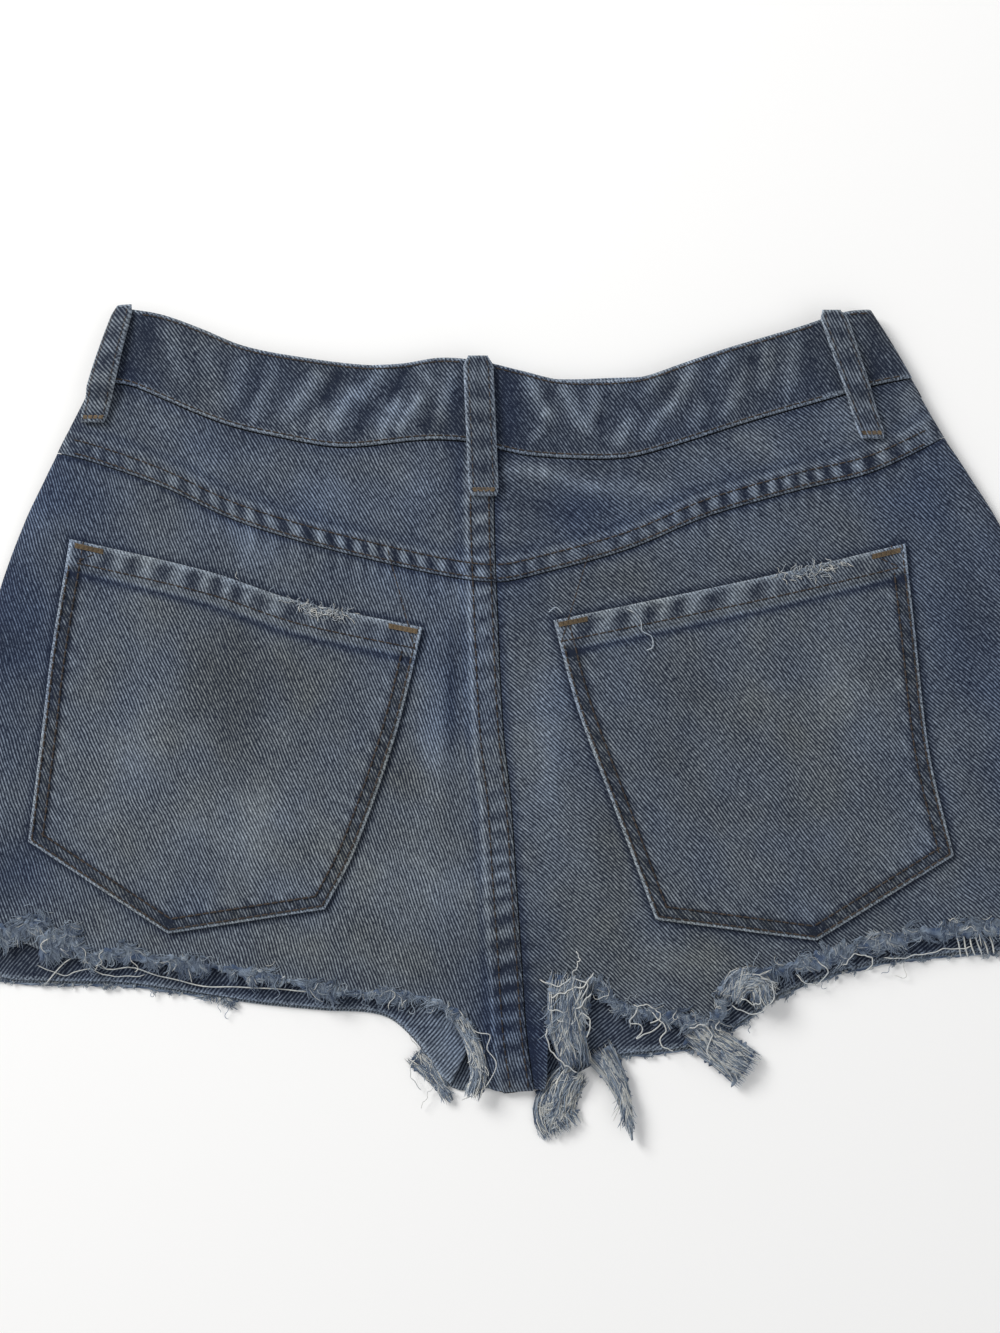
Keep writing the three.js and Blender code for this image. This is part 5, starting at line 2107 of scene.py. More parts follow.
@dataclass
class Waist:
    """The waistband's three runs, their stitches, and the belt loops."""

    room: Workroom
    columns: int = 200
    rows: int = 22
    front_columns: int = 60
    loop_columns: int = 12
    loop_rows: int = 46
    crown: float = 0.35

    def back_band(self) -> bpy.types.Object:
        """The back run, rubbed along its folded top and its seam.

        Returns:
            The piece.
        """
        place = between(FORM.band_top, moved(FORM.band_seam, SEAM_GAP), FORM.side["left"],
                        FORM.side["right"])
        grid = Grid.of(place, Spread(TURN, TURN, self.columns), Spread(RIM + (1.4,), RIM + (1.4,),
                                                                       self.rows))
        dye_and_shade = DyeAndShade.over(grid.x, grid.y)
        # painted highlight on the rumples' ridges and painted shade in their troughs, the band a
        # little darker overall
        dye_and_shade.wash_and_shade += FORM.folds(CREASES, grid.x, grid.y) - 0.4
        # painted shade along the two stitch rows
        dye_and_shade.line(grid.upper - 1.6, 0.7, -0.35)
        dye_and_shade.line(grid.lower - 1.6, 0.8, -0.35)
        # faded ridges and painted shade on the puckers above the seam
        dye_and_shade.rope(grid.x, grid.lower - 3.0, 4.0, 0.30, 7.5)
        dye_and_shade.rim(grid.upper - 0.5, 0.8, 0.8).rim(grid.lower - 0.7, 0.9, 1.3)
        cloth = Cloth(Face.BACK, grid.x, grid.y, BAND_HALF, -BAND_HALF, grid.edge,
                      TWILL["band"], dye_and_shade, BAND_HALF)
        return self.room.sheet("waistband_back", cloth, Slot.BAND, "band_denim",
                               ["waistband_front_left", "waistband_front_right"])

    def front_band(self, hand: str) -> bpy.types.Object:
        """A front run; the right one passes behind the left one at the middle.

        Args:
            hand: left or right.

        Returns:
            The piece.
        """
        end = LAP_LEFT if hand == "left" else LAP_RIGHT
        place = between(FORM.front_top, moved(FORM.front_seam, SEAM_GAP),
                        upright(end), FORM.side[hand])
        grid = Grid.of(place, Spread(RIM, TURN, self.front_columns), Spread(RIM, RIM, 10))
        drop = 0.0
        if hand == "right":
            drop = LAP_DROP * ease((LAP_LEFT + LAP_CLEAR + LAP_RUN - grid.x) / LAP_RUN)
        dye_and_shade = DyeAndShade.over(grid.x, grid.y).rim(grid.upper, 0.9, 0.7).rim(grid.lower, 0.8, 0.6)
        cloth = Cloth(Face.FRONT, grid.x, grid.y, BAND_HALF - drop, -BAND_HALF - drop,
                      grid.edge, TWILL["band"], dye_and_shade, BAND_HALF)
        return self.room.sheet(f"waistband_front_{hand}", cloth, Slot.BAND, "band_denim",
                               [f"belt_loop_front_{hand}"])

    def loop(self, name: str, face: Face, place: Place, offs: Callable, low: Sequence[str]
             ) -> bpy.types.Object:
        """One belt loop.

        Args:
            name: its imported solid's name.
            face: the face that it lies on.
            place: its flat shape.
            offs: its two faces' distances at x and y.
            low: what it rests on.

        Returns:
            The piece.
        """
        cross, tall = FRONT_LOOP_WIDE, FRONT_LOOP_LONG
        u, v = rimmed(cross, self.loop_columns) / cross, rimmed(tall, self.loop_rows) / tall
        v_grid, u_grid = np.meshgrid(v, u, indexing="ij")
        x, y = place(u_grid, v_grid)
        outer, inner = offs(x, y)
        side = np.minimum(u_grid, 1 - u_grid) * cross
        edge = np.minimum(side, np.minimum(v_grid, 1 - v_grid) * tall)
        dye_and_shade = DyeAndShade.over(x, y)
        dye_and_shade.wash_and_shade = dye_and_shade.wash_and_shade * 0.25 - 0.05
        # faded ridges and painted shade on the loop's puckers
        dye_and_shade.rope(y, side - cross / 2, cross / 2, 0.45, 11.0)
        # painted shade along the two stitch rows
        dye_and_shade.line(side - 2.2, 0.9, -0.5, 0.3)
        dye_and_shade.line(side - cross / 2, 2.0, -0.35, 0.1)
        dye_and_shade.rim(side, 0.9, 0.9)
        dye_and_shade.rim((1 - v_grid) * tall, 1.2, 0.9).rim(v_grid * tall, 1.2, 0.8)
        outer = outer + self.crown * (1 - (2 * u_grid - 1) ** 4) * np.sign(outer - inner)
        cloth = Cloth(face, x, y, outer, inner, edge, TWILL["loop"], dye_and_shade, LOOP_THICK / 2)
        return self.room.sheet(name, cloth, Slot.DENIM, "washed_denim", low)

    @staticmethod
    def back_loop_place(loop: LoopCut) -> Place:
        """A back loop's flat shape, straight between its two ends.

        Args:
            loop: its ends.

        Returns:
            Function of the shares across and down.
        """

        def place(u: Array, v: Array) -> tuple[Array, Array]:
            """The point at shares across and down.

            Args:
                u: shares across.
                v: shares down.

            Returns:
                The points.
            """
            tall = loop.top - loop.low
            narrow = 1 - 0.34 * ease(1 - v * tall / 6) ** 2 - 0.16 * ease(1 - (1 - v) * tall / 3)
            u = 0.5 + (u - 0.5) * narrow
            top = mix(loop.top_left, loop.top_right, u)
            return mix(top, mix(loop.low_left, loop.low_right, u), v), mix(loop.top, loop.low, v)

        return place

    def back_loop_offs(self, loop: LoopCut) -> Callable:
        """A back loop's two faces: over the band, down to the yoke, arched between its ends.

        Args:
            loop: its ends.

        Returns:
            Function of x and y that gives the outer and the inner distance.
        """

        def offs(x: Array, y: Array) -> tuple[Array, Array]:
            """Outer and inner distance.

            Args:
                x: places across.
                y: places up the garment.

            Returns:
                The two distances.
            """
            on_band = ease(1 - (FORM.band_seam(x) - y - 1) / LOOP_DROP)
            arch = LOOP_ARCH * np.sin(np.pi * (loop.top - y) / (loop.top - loop.low))
            low = LAY_GAP + mix(loop.ridge, BAND_HALF, on_band) + arch
            return low + LOOP_THICK, low

        return offs

    def stitches(self) -> None:
        """Rows along the band's two edges and down each loop, and tan bars at the loops' feet."""
        rows, bars = [], []
        for line, by, ends in ((FORM.band_seam, 1.9, ((-178, -21), (-9, 131), (142, 164))),
                               (FORM.band_top, -1.8, ((-160, -24), (-9, 127), (142, 150)))):
            rows += [StitchRow(seam_path(line, *run, by), BAND_HALF + 0.12) for run in ends]
        for loop in BACK_LOOPS:
            place, offs = self.back_loop_place(loop), self.back_loop_offs(loop)
            v = np.linspace(0.03, 0.985, 22)
            for share in (0.17, 0.83):
                x, y = place(np.full(v.shape, share), v)
                points = FORM.on(Face.BACK, x, y, offs(x, y)[0] + 0.1)
                rows.append(RodRow(points, 3.3, 2.9, 0.30))
            for foot in (0.945, 0.955, 0.965):
                u = np.linspace(0.12, 0.88, 10)
                x, y = place(u, np.full(u.shape, foot))
                bars.append(RodRow(FORM.on(Face.BACK, x, y, offs(x, y)[0] + 0.2), 1.9, 2.1, 0.32))
        self.room.stitched("stitches_waist", rows, Slot.BAND, "brown_thread")
        self.room.stitched("bars_loops", bars, Slot.BAND, "tan_thread")

    def build(self) -> None:
        """Makes the bands, the loops and their stitches."""
        self.back_band()
        for hand in HANDS:
            self.front_band(hand)
        for loop in BACK_LOOPS:
            self.loop(f"belt_loop_{loop.name}", Face.BACK, self.back_loop_place(loop),
                      self.back_loop_offs(loop), ["waistband_back"])
        for name, x in FRONT_LOOPS:
            top = float(FORM.front_top(x)) + 0.8

            def place(u: Array, v: Array, x: float = x, top: float = top) -> tuple[Array, Array]:
                """A straight strip hung from the band's top."""
                return x + (u - 0.5) * FRONT_LOOP_WIDE, top - v * FRONT_LOOP_LONG

            self.loop(f"belt_loop_front_{name}", Face.FRONT, place,
                      lambda x, y: (FRONT_LOOP_HIGH, FRONT_LOOP_LOW), [])
        self.stitches()


@dataclass(frozen=True)
class RodRow:
    """A row of stitches along given points, as short round-ended rods."""

    points: Array
    pitch: float
    long: float
    radius: float

    def shape(self) -> Shape:
        """Even stitches along the points' length.

        Returns:
            All the row's stitches.
        """
        stations = stations_of(self.points)
        count = max(int(stations[-1] / self.pitch), 1)
        middles = (np.arange(count) + 0.5) * stations[-1] / count
        a, b = (np.stack([np.interp(np.clip(middles + way * self.long / 2, 0, stations[-1]),
                                    stations, self.points[:, k]) for k in range(3)], -1)
                for way in (-1, 1))
        return rods(a, b, self.radius, 5)


@dataclass
class FrontBody:
    """Front panels, pocket facings, fly and turned hems: what lies underneath."""

    room: Workroom
    columns: int = 70
    rows: int = 84
    facing_lines: int = 24
    turn_rows: int = 14
    turn_columns: int = 190
    stitch_off: float = 0.02

    def flat_sheet(self, name: str, place: Place, columns: Spread, rows: Spread, low: float,
                   high: float, slot: Slot, finish: str, twill: float,
                   rests_on: Sequence[str]) -> bpy.types.Object:
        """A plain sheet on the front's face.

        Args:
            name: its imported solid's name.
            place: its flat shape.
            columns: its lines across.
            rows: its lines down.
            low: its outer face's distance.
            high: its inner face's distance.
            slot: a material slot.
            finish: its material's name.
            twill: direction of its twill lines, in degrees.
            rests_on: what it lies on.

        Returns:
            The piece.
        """
        grid = Grid.of(place, columns, rows)
        dye_and_shade = DyeAndShade.over(grid.x, grid.y).rim(grid.edge, 0.8, 0.6)
        cloth = Cloth(Face.FRONT, grid.x, grid.y, low, high, grid.edge, twill, dye_and_shade)
        return self.room.sheet(name, cloth, slot, finish, rests_on)

    def build(self) -> None:
        """Makes each hand's panel, facing and turned hem, then the stitches."""
        panel = Spread(RIM, RIM, self.columns), Spread(RIM, RIM, self.rows)
        pocket = Spread(RIM, TURN, self.facing_lines), Spread(RIM, RIM, self.facing_lines)
        for hand in HANDS:
            self.flat_sheet(f"front_panel_{hand}", front_place(hand), *panel, 0.0, -CLOTH,
                            Slot.DENIM, "washed_denim", TWILL[f"front_{hand}"], [])
            facing = between(moved(FORM.front_seam, -SEAM_GAP / 2),
                             moved(FORM.front_seam, -FACING_LONG),
                             upright(WAYS[hand] * FACING_INNER), FORM.side[hand])
            self.flat_sheet(f"pocket_facing_{hand}", facing, *pocket, -FACING_LOW, -FACING_HIGH,
                            Slot.INNER, "band_denim", TWILL["inside"], [f"front_panel_{hand}"])
            self.hem_turn(hand)
        self.stitches()

    def hem_turn(self, hand: str) -> bpy.types.Object:
        """The front's raw edge, turned up: it shows under the back's hem.

        Args:
            hand: left or right.

        Returns:
            The piece.
        """
        back, front = back_place(hand), front_place(hand)

        def upper(u: Array) -> tuple[Array, Array]:
            """Just above the back's hem."""
            return back(mix(TURN_START, TURN_END, u), 0.95)

        def lower(u: Array) -> tuple[Array, Array]:
            """The front's hem."""
            return front(mix(TURN_START, TURN_END, u), 0.995)

        def straight(end: float) -> Edge:
            """A straight short edge."""
            return lambda v: tuple(mix(upper(end)[k], lower(end)[k], v) for k in (0, 1))

        place = patch(upper, lower, straight(0.0), straight(1.0))
        rows, rim = Spread(RIM, RIM, self.turn_rows), np.array(RIM) / TURN_LONG
        even = np.linspace(0.0036, 0.9964, self.turn_columns)[1:-1]
        u_line = np.concatenate([rim, even, 1 - rim[::-1]])
        i, u = np.meshgrid(np.arange(rows.lines), u_line, indexing="ij")
        ends = [np.array(place(u, np.full(u.shape, v))) for v in (0.0, 1.0)]
        tall = np.maximum(np.hypot(*(ends[1] - ends[0])), 4.0)
        across_v = rows.at(i, tall)
        x, y = place(u, across_v / tall)
        edge = np.minimum(np.minimum(across_v, tall - across_v), np.minimum(u, 1 - u) * TURN_LONG)
        dye_and_shade = DyeAndShade.over(x, y)
        near_crotch = bell(np.maximum(np.abs(x + 4) - 20, 0), 26.0)
        dye_and_shade.wash_and_shade += 0.75 * near_crotch * (x < 0) - 0.55 * (1 - near_crotch)
        dye_and_shade.tint -= 0.25
        dye_and_shade.rim(tall - across_v, 1.6, 0.9)
        ripple = 0.25 * np.sin(x / 3.1 + np.sin(x / 9)) * bell(across_v - tall / 2, 6.0)
        outer = -CLOTH - SEAM_GAP
        rolled = 1.5 * np.sin(np.pi * np.clip(across_v / tall * 1.25 - 0.25, 0, 1)) * near_crotch
        cloth = Cloth(Face.FRONT, x, y, outer, outer - CLOTH - np.abs(ripple) * 0.6 - rolled, edge,
                      TWILL[f"hem_{hand}"], dye_and_shade)
        return self.room.sheet(f"hem_turn_{hand}", cloth, Slot.INNER, "inner_denim",
                               [f"front_panel_{hand}"])

    def stitches(self) -> None:
        """Rows round the pocket mouths, down the fly and along the front band."""
        rows = []
        for way in (-1, 1):
            high = float(FORM.front_seam(way * MOUTH[0][0]))
            mouth = [(way * (x - 2.2), high - drop + 0.6) for x, drop in MOUTH]
            again = [(way * (x - 8.4), high - drop - 2.0) for x, drop in MOUTH]
            rows += [StitchRow(Path(p), self.stitch_off, Face.FRONT) for p in (mouth, again)]
        top = float(FORM.front_seam(FRONT_CENTRE)) - 3
        for inset_ in (0.0, 6.0):
            curve = [(FLAP_EDGE - 38 + inset_, top), (FLAP_EDGE - 38 + inset_, top - 80),
                     (FLAP_EDGE - 30 + inset_, top - 104), (FLAP_EDGE - 3, top - 118 + inset_)]
            rows.append(StitchRow(Path(curve), self.stitch_off, Face.FRONT))
        for start, end in ((-170, -20), (16, 150)):
            for line, by in ((FORM.front_seam, 2.0), (FORM.front_top, -1.8)):
                rows.append(StitchRow(seam_path(line, start, end, by), BAND_HALF, Face.FRONT))
        self.room.stitched("stitches_front", rows, Slot.DENIM, "brown_thread")


@dataclass
class Fly:
    """Zip tapes, teeth, slider and shield, and the waist button: all underneath, read by box."""

    room: Workroom
    strip_columns: int = 12
    strip_rows: int = 60
    tape_wide: float = 13.0
    around: int = 48

    def strip(self, node: str, low: float, high: float, slot: Slot, finish: str,
              rests_on: Sequence[str]) -> bpy.types.Object:
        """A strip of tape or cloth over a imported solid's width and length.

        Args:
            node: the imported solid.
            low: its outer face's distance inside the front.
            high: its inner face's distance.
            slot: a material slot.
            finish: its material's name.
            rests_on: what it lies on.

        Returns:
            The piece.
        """
        lowest, highest = packed(node)
        wide, tall = highest[0] - lowest[0], highest[1] - lowest[1]
        v_grid, u_grid = np.meshgrid(rimmed(tall, self.strip_rows),
                                     rimmed(wide, self.strip_columns), indexing="ij")
        x, y = lowest[0] + u_grid, lowest[1] + v_grid
        edge = np.minimum(np.minimum(u_grid, wide - u_grid), np.minimum(v_grid, tall - v_grid))
        cloth = Cloth(Face.FRONT, x, y, -low, -high, edge, TWILL["inside"], DyeAndShade.over(x, y),
                      min(Cloth.thick_rim, (high - low) / 2))
        return self.room.sheet(node, cloth, slot, finish, rests_on, (),
                               self.tape_wide * MM)

    def teeth(self) -> bpy.types.Object:
        """Teeth in two interlocked rows: short rods laid across the chain, each a half pitch on.

        Returns:
            The piece.
        """
        low, high = packed("zip_chain")
        pitch = 1.5
        y = np.arange(low[1] + 0.6, high[1] - 0.6, pitch / 2)
        middle = (low[0] + high[0]) / 2
        way = np.where(np.arange(len(y)) % 2 == 0, -1.0, 1.0)
        near, far = middle - way * 0.9, middle + way * 2.6
        a, b = (FORM.on(Face.FRONT, x, y, -2.0) for x in (near, far))
        return self.room.piece("zip_teeth", rods(a, b, 0.42, 6), Slot.ZIP, "zip_brass",
                               ["zip_chain"])

    def slider(self) -> bpy.types.Object:
        """Slider body: a squared tube that swells at the middle and narrows at both ends.

        Returns:
            The piece.
        """
        low, high = packed("zip_slider")
        middle, half = (low + high) / 2, (high - low) / 2
        t, a = np.meshgrid(np.linspace(-1, 1, 17), np.arange(24) * np.pi / 12, indexing="ij")
        swell = np.sqrt(np.clip(1 - t**6, 0.01, 1)) * (0.82 + 0.18 * np.cos(np.pi * t))
        square = (np.abs(np.cos(a)) ** 4 + np.abs(np.sin(a)) ** 4) ** -0.25
        x = middle[0] + half[0] * swell * square * np.cos(a)
        z = middle[2] + half[2] * np.sqrt(np.clip(1 - t**8, 0.01, 1)) * square * np.sin(a)
        y = middle[1] + half[1] * t
        ring = ring_numbers(*t.shape)
        shape = Shape(np.stack([x, y, z], -1).reshape(-1, 3), [cells(ring), lids(ring)])
        return self.room.piece("zip_slider_body", shape.facing_out(), Slot.ZIP, "zip_brass",
                               ["zip_slider"])

    def button(self) -> bpy.types.Object:
        """Shank button: a turned profile with a raised rim and a shallow dished middle.

        Returns:
            The piece.
        """
        low, high = packed("waist_button")
        middle = (low + high) / 2
        radius, rise = (high[0] - low[0]) / 2, high[2] - low[2]
        profile = np.array([(0.0, 0.30), (0.35, 0.28), (0.62, 0.22), (0.70, 0.10), (0.78, 0.0),
                            (0.88, 0.0), (0.96, 0.12), (1.0, 0.35), (0.99, 0.60), (0.90, 0.85),
                            (0.72, 1.0), (0.30, 1.0), (0.0, 1.0)])
        a = np.arange(self.around) * 2 * np.pi / self.around
        rings = profile[1:-1]
        x = middle[0] + radius * rings[:, :1] * np.cos(a)
        y = middle[1] + radius * rings[:, :1] * np.sin(a)
        z = low[2] + rise * rings[:, 1:] + 0.0 * a
        points = np.concatenate([np.stack([x, y, z], -1).reshape(-1, 3),
                                 [[middle[0], middle[1], low[2] + rise * profile[0, 1]],
                                  [middle[0], middle[1], high[2]]]])
        ring = ring_numbers(*x.shape)
        shape = Shape(points, [cells(ring), fans(ring, x.size, x.size + 1)]).facing_out()
        return self.room.piece("waist_button_turned", shape, Slot.BUTTON, "button_brass",
                               ["waist_button"])

    def build(self) -> None:
        """Makes the fly's pieces."""
        for hand in HANDS:
            self.strip(f"zip_tape_{hand}", 1.55, 2.5, Slot.TAPE, "woven_tape",
                       [f"front_panel_{hand}"])
        self.strip("fly_shield", 3.0, 4.0, Slot.INNER, "band_denim", ["zip_tape_left"])
        self.teeth()
        self.slider()
        self.button()


@dataclass(frozen=True)
class Tuft:
    """A tuft of threads: the way it runs, its width at both ends, its heights and its colours."""

    node: str
    guide: tuple[tuple[float, float], ...]
    wide: tuple[float, float]
    heights: tuple[float, float]
    count: int
    curl: float
    pale: tuple[float, float]
    white: float


TUFTS = (
    Tuft("tuft_left_tip", ((-44, -141), (-38, -148), (-32, -157), (-28, -163)), (13, 2),
         (0.8, 3.2), 170, 0.9, (0.02, 0.60), 0.20),
    Tuft("tuft_left_edge", ((-25, -125), (-19, -136), (-16, -150), (-19, -161)), (6, 7),
         (6.2, 8.2), 150, 1.0, (0.10, 0.80), 0.30),
    Tuft("tuft_centre", ((25, -106), (23, -116), (22, -130), (26, -147)), (20, 12),
         (6.2, 9.6), 330, 1.5, (0.02, 0.75), 0.20),
    Tuft("tuft_round", ((27, -149), (20, -158), (17, -168), (21, -176)), (13, 20),
         (0.8, 4.2), 260, 2.4, (0.10, 0.85), 0.22),
    Tuft("tuft_point", ((34, -139), (41, -149), (46, -160), (50, -179)), (14, 0.8),
         (3.0, 5.8), 300, 0.4, (0.10, 0.85), 0.20),
    Tuft("tuft_right_low", ((74, -130), (84, -137), (94, -145), (101, -150)), (14, 17),
         (3.0, 6.0), 260, 1.3, (0.05, 0.75), 0.18),
    Tuft("tuft_right_curl", ((91, -119), (96, -111), (104, -111), (107, -121)), (12, 9),
         (6.4, 9.6), 260, 1.8, (0.05, 0.75), 0.22),
)


@dataclass(frozen=True)
class LooseThread:
    """A single thread that can be followed: its points, height and radius."""

    points: tuple[tuple[float, float], ...]
    z: float
    radius: float
    pale: float = 0.92


LOOSE = tuple(LooseThread(*row) for row in (
    (((-203, -113), (-193, -102), (-183, -100), (-177, -105), (-165, -105),
      (-153, -109), (-134, -112.5), (-108, -114), (-82, -115)), 4.4, 0.42),
    (((-206, -104), (-196, -108), (-184, -106), (-172, -109), (-160, -108)), 4.0, 0.3),
    (((-25, -123), (-17, -132), (-11, -134), (-13, -139), (-8, -146), (-15, -157),
      (-23, -162)), 7.0, 0.36),
    (((-46, -134), (-42, -142), (-46, -150), (-41, -158)), 3.0, 0.3),
    (((-33, -153), (-38, -160), (-41, -166)), 2.6, 0.26),
    (((10, -109), (17, -112), (25, -109), (31, -112), (27, -118)), 9.4, 0.45),
    (((15, -117), (22, -114), (30, -111), (33, -106)), 9.8, 0.45),
    (((14, -122), (21, -123), (28, -120), (32, -115)), 9.5, 0.45),
    (((24, -108), (27, -101), (26, -97)), 8.6, 0.35),
    (((13, -130), (14, -138), (20, -145), (26, -149)), 9.0, 0.45),
    (((17, -126), (23, -128), (29, -124), (32, -129), (30, -134)), 9.4, 0.4),
    (((52, -122), (49, -128), (54, -130), (52, -135), (59, -131), (64, -128)), 6.6, 0.4),
    (((58, -124), (64, -130), (62, -137), (68, -141)), 6.6, 0.42),
    (((50, -121), (57, -121), (62, -125), (58, -129)), 6.7, 0.4),
    (((74, -131), (80, -129), (84, -134), (82, -141), (86, -145)), 6.6, 0.42),
    (((92, -120), (100, -124), (108, -121), (110, -112), (105, -108)), 9.0, 0.4),
    (((96, -117), (103, -120), (106, -114)), 9.2, 0.4),
    (((140, -104), (146, -99), (153, -101), (150, -107)), 6.6, 0.36),
    (((120, -108), (127, -112), (134, -107), (130, -102)), 6.6, 0.36),
    (((158, -101), (170, -100), (184, -97), (196, -96)), 5.6, 0.34),
))
THREAD_LOW = 0.4  # no thread's middle lies lower
FRAYS = (  # face, hand, where it starts, half width, threads, their dye, share of white ones
    (Face.BACK, "left", 0.13, 3.1, 320, (0.12, 0.52), 0.03),
    (Face.BACK, "right", 0.12, 3.6, 320, (0.10, 0.56), 0.05),
    (Face.FRONT, "left", 0.52, 0.9, 70, (0.15, 0.72), 0.14),
    (Face.FRONT, "right", 0.13, 0.9, 90, (0.15, 0.72), 0.10),
)
POCKET_WEAR = (("left", 0.30, 0.075, 120), ("right", 0.73, 0.065, 90))  # where, reach, threads
FULLER = ((-206, 18, 1.5), (-150, 30, 0.25), (136, 14, 0.6), (206, 18, 0.5))  # x, reach, how much
RAISED = ((-210, 7, 11.0), (-193, 6, 10.0), (-172, 7, 3.0))  # x, reach, how far over the cloth
LADDER = ((189, -90.5), (203, -89.0), 6, 10.0)  # start, end, rungs, their length
LOOSE_ON_POCKET = ((47, 49.5), (51, 47.5), (53.5, 44), (54, 40), (58, 37.5), (58.5, 33),
                   (55.5, 31.5))
SHORT_ON_POCKET = ((14, 48), (17, 50), (20, 47.5))


@dataclass
class RawHems:
    """The frayed hems: lint along each raw edge, loose threads, tufts and single long threads."""

    room: Workroom
    strands: int = 13
    threads: Threads = field(default_factory=lambda: Threads(np.random.default_rng(SEED)))

    def hem_line(self, face: Face, hand: str, t: Array) -> tuple[Array, Array, Array]:
        """A hem's points, outward directions and heights.

        Args:
            face: back or front.
            hand: left or right.
            t: shares of the hem, from the crotch.

        Returns:
            (points, 2), (points, 2) and heights.
        """
        place = back_place(hand) if face is Face.BACK else front_place(hand)
        one = np.ones_like(t)
        x, y = place(t, one)
        a = np.array(place(np.clip(t - 0.004, 0, 1), one))
        b = np.array(place(np.clip(t + 0.004, 0, 1), one))
        inside = np.array(place(t, one * 0.97))
        dx, dy = b - a
        long = np.hypot(dx, dy)
        normal = np.stack([dy / long, -dx / long], -1)
        way = np.sign(normal[:, 0] * (x - inside[0]) + normal[:, 1] * (y - inside[1]))
        z = FORM.on(face, x, y, -0.5 if face is Face.BACK else -0.6)[:, 2]
        return np.stack([x, y], -1), normal * way[:, None], z

    def fray(self, face: Face, hand: str, start: float, size: float, count: int,
             pale: tuple[float, float], white: float) -> bpy.types.Object:
        """Lint and threads along one hem.

        Args:
            face: back or front.
            hand: left or right.
            start: share of the hem at which they begin.
            size: half width of the lint where it is thickest.
            count: how many threads.
            pale: the threads' dye values.
            white: share of white ones.

        Returns:
            The piece.
        """
        random = self.threads.random
        t = np.linspace(start, 0.995, 420)
        points, out, z = self.hem_line(face, hand, t)
        clump = 0.82 + 0.30 * sways(random, 4, 8, 34)(stations_of(points))
        wide = np.clip(size * clump, 0.45, size * 1.35)
        for x, reach, more in FULLER:
            wide = wide * (1 + more * bell(points[:, 0] - x, reach) * (face is Face.BACK))
        rise = sum(far * bell(points[:, 0] - x, reach) for x, reach, far in RAISED)
        rise = rise * (face is Face.BACK)
        middle = np.concatenate([points + out * (wide * 0.30 - rise)[:, None],
                                 (z + 0.15)[:, None]], axis=1)
        lint = roll(middle, out, wide * 0.8, np.clip(wide * 0.35, 0.4, 0.9), random,
                    pale[0] + 0.04)
        at = random.uniform(0, 1, count)
        weight = np.cumsum(wide**1.2)
        at = np.interp(at, weight / weight[-1], t)
        base, normal, high = self.hem_line(face, hand, at)
        spread = np.interp(at, t, wide)
        aside = random.uniform(-1.1, 0.45, count) * spread - np.interp(at, t, rise)
        begin = np.concatenate([base + normal * aside[:, None],
                                (high + 0.5 + random.uniform(0, 0.5, count))[:, None]], axis=1)
        outward = np.arctan2(normal[:, 1], normal[:, 0])
        lean = np.where(random.uniform(0, 1, count) < 0.75, 1.0, -1.0)
        lean = lean * random.uniform(0.1, 1.25, count)
        length = random.uniform(2.2, 4.6, count) * np.clip(spread / 1.5, 0.5, 1.7)
        paths = self.threads.locks(begin, outward + lean, length, self.strands, 0.48, 1.1, 0.9,
                                   7)
        paths[:, :, 2] = np.maximum(paths[:, :, 2], THREAD_LOW)
        hair = tubes(paths, self.threads.radii(len(paths), 0.09, 0.18),
                     self.threads.lock_tones(count, self.strands, *pale, white))
        few = max(count // 8, 8)
        pick = random.choice(count, few, replace=False)
        long_paths = self.threads.curled(begin[pick] + (0, 0, 0.4), (outward + lean)[pick],
                                         random.uniform(6, 14, few), 2.2, np.zeros(few), 14)
        long_paths[:, :, 2] = np.maximum(long_paths[:, :, 2], THREAD_LOW)
        long_ones = tubes(long_paths, self.threads.radii(few, 0.13, 0.22),
                          self.threads.paleness(few, 0.35, 0.62, 0.25))
        shape = Shape.joined([lint, hair, long_ones])
        name = f"fray_{face.value}_{hand}"
        return self.room.piece(f"{name}_threads", shape, Slot.FRAY, "loose_cotton", [name])

    def tuft(self, spec: Tuft) -> bpy.types.Object:
        """One tuft: a core of lint under its threads.

        Args:
            spec: its guide and sizes.

        Returns:
            The piece.
        """
        random = self.threads.random
        t = np.linspace(0.06, 0.94, 60)
        x, y = Path(spec.guide)(t)
        dx, dy = np.gradient(x), np.gradient(y)
        long = np.hypot(dx, dy)
        out = np.stack([-dy / long, dx / long], -1)
        thick = spec.heights[1] - spec.heights[0]
        wide = mix(spec.wide[0], spec.wide[1], t) * 0.43
        middle = np.stack([x, y, np.full(t.shape, spec.heights[0] + thick * 0.25)], -1)
        core = roll(middle, out, wide, np.full(t.shape, thick * 0.25), random, 0.10, 16)
        core.points[:, 2] = np.maximum(core.points[:, 2], 0.2)
        paths = self.threads.bundle(spec.guide, spec.wide, spec.heights, spec.count, spec.curl)
        paths[:, :, 2] = np.maximum(paths[:, :, 2], THREAD_LOW)
        hair = tubes(paths, self.threads.radii(spec.count, 0.15, 0.30),
                     self.threads.paleness(spec.count, *spec.pale, spec.white))
        locks = max(spec.count // 11, 10)
        share = random.uniform(0.0, 0.8, locks)
        own = random.uniform(-0.34, 0.34, locks)
        across_ = mix(spec.wide[0], spec.wide[1], share) * own
        x, y = Path(spec.guide)(share)
        ahead = Path(spec.guide)(np.clip(share + 0.05, 0, 1))
        heading = np.arctan2(ahead[1] - y, ahead[0] - x)
        dome = np.sqrt(np.clip(1 - (2 * own) ** 2, 0.1, 1))
        base = np.stack([x - np.sin(heading) * across_, y + np.cos(heading) * across_,
                         mix(spec.heights[0], spec.heights[1], 0.25 + 0.55 * dome)], -1)
        length = random.uniform(0.6, 1.1, locks) * (spec.wide[0] * 0.55 + 3.5)
        length = length * np.clip((1 - share) * 2.2, 0.35, 1)
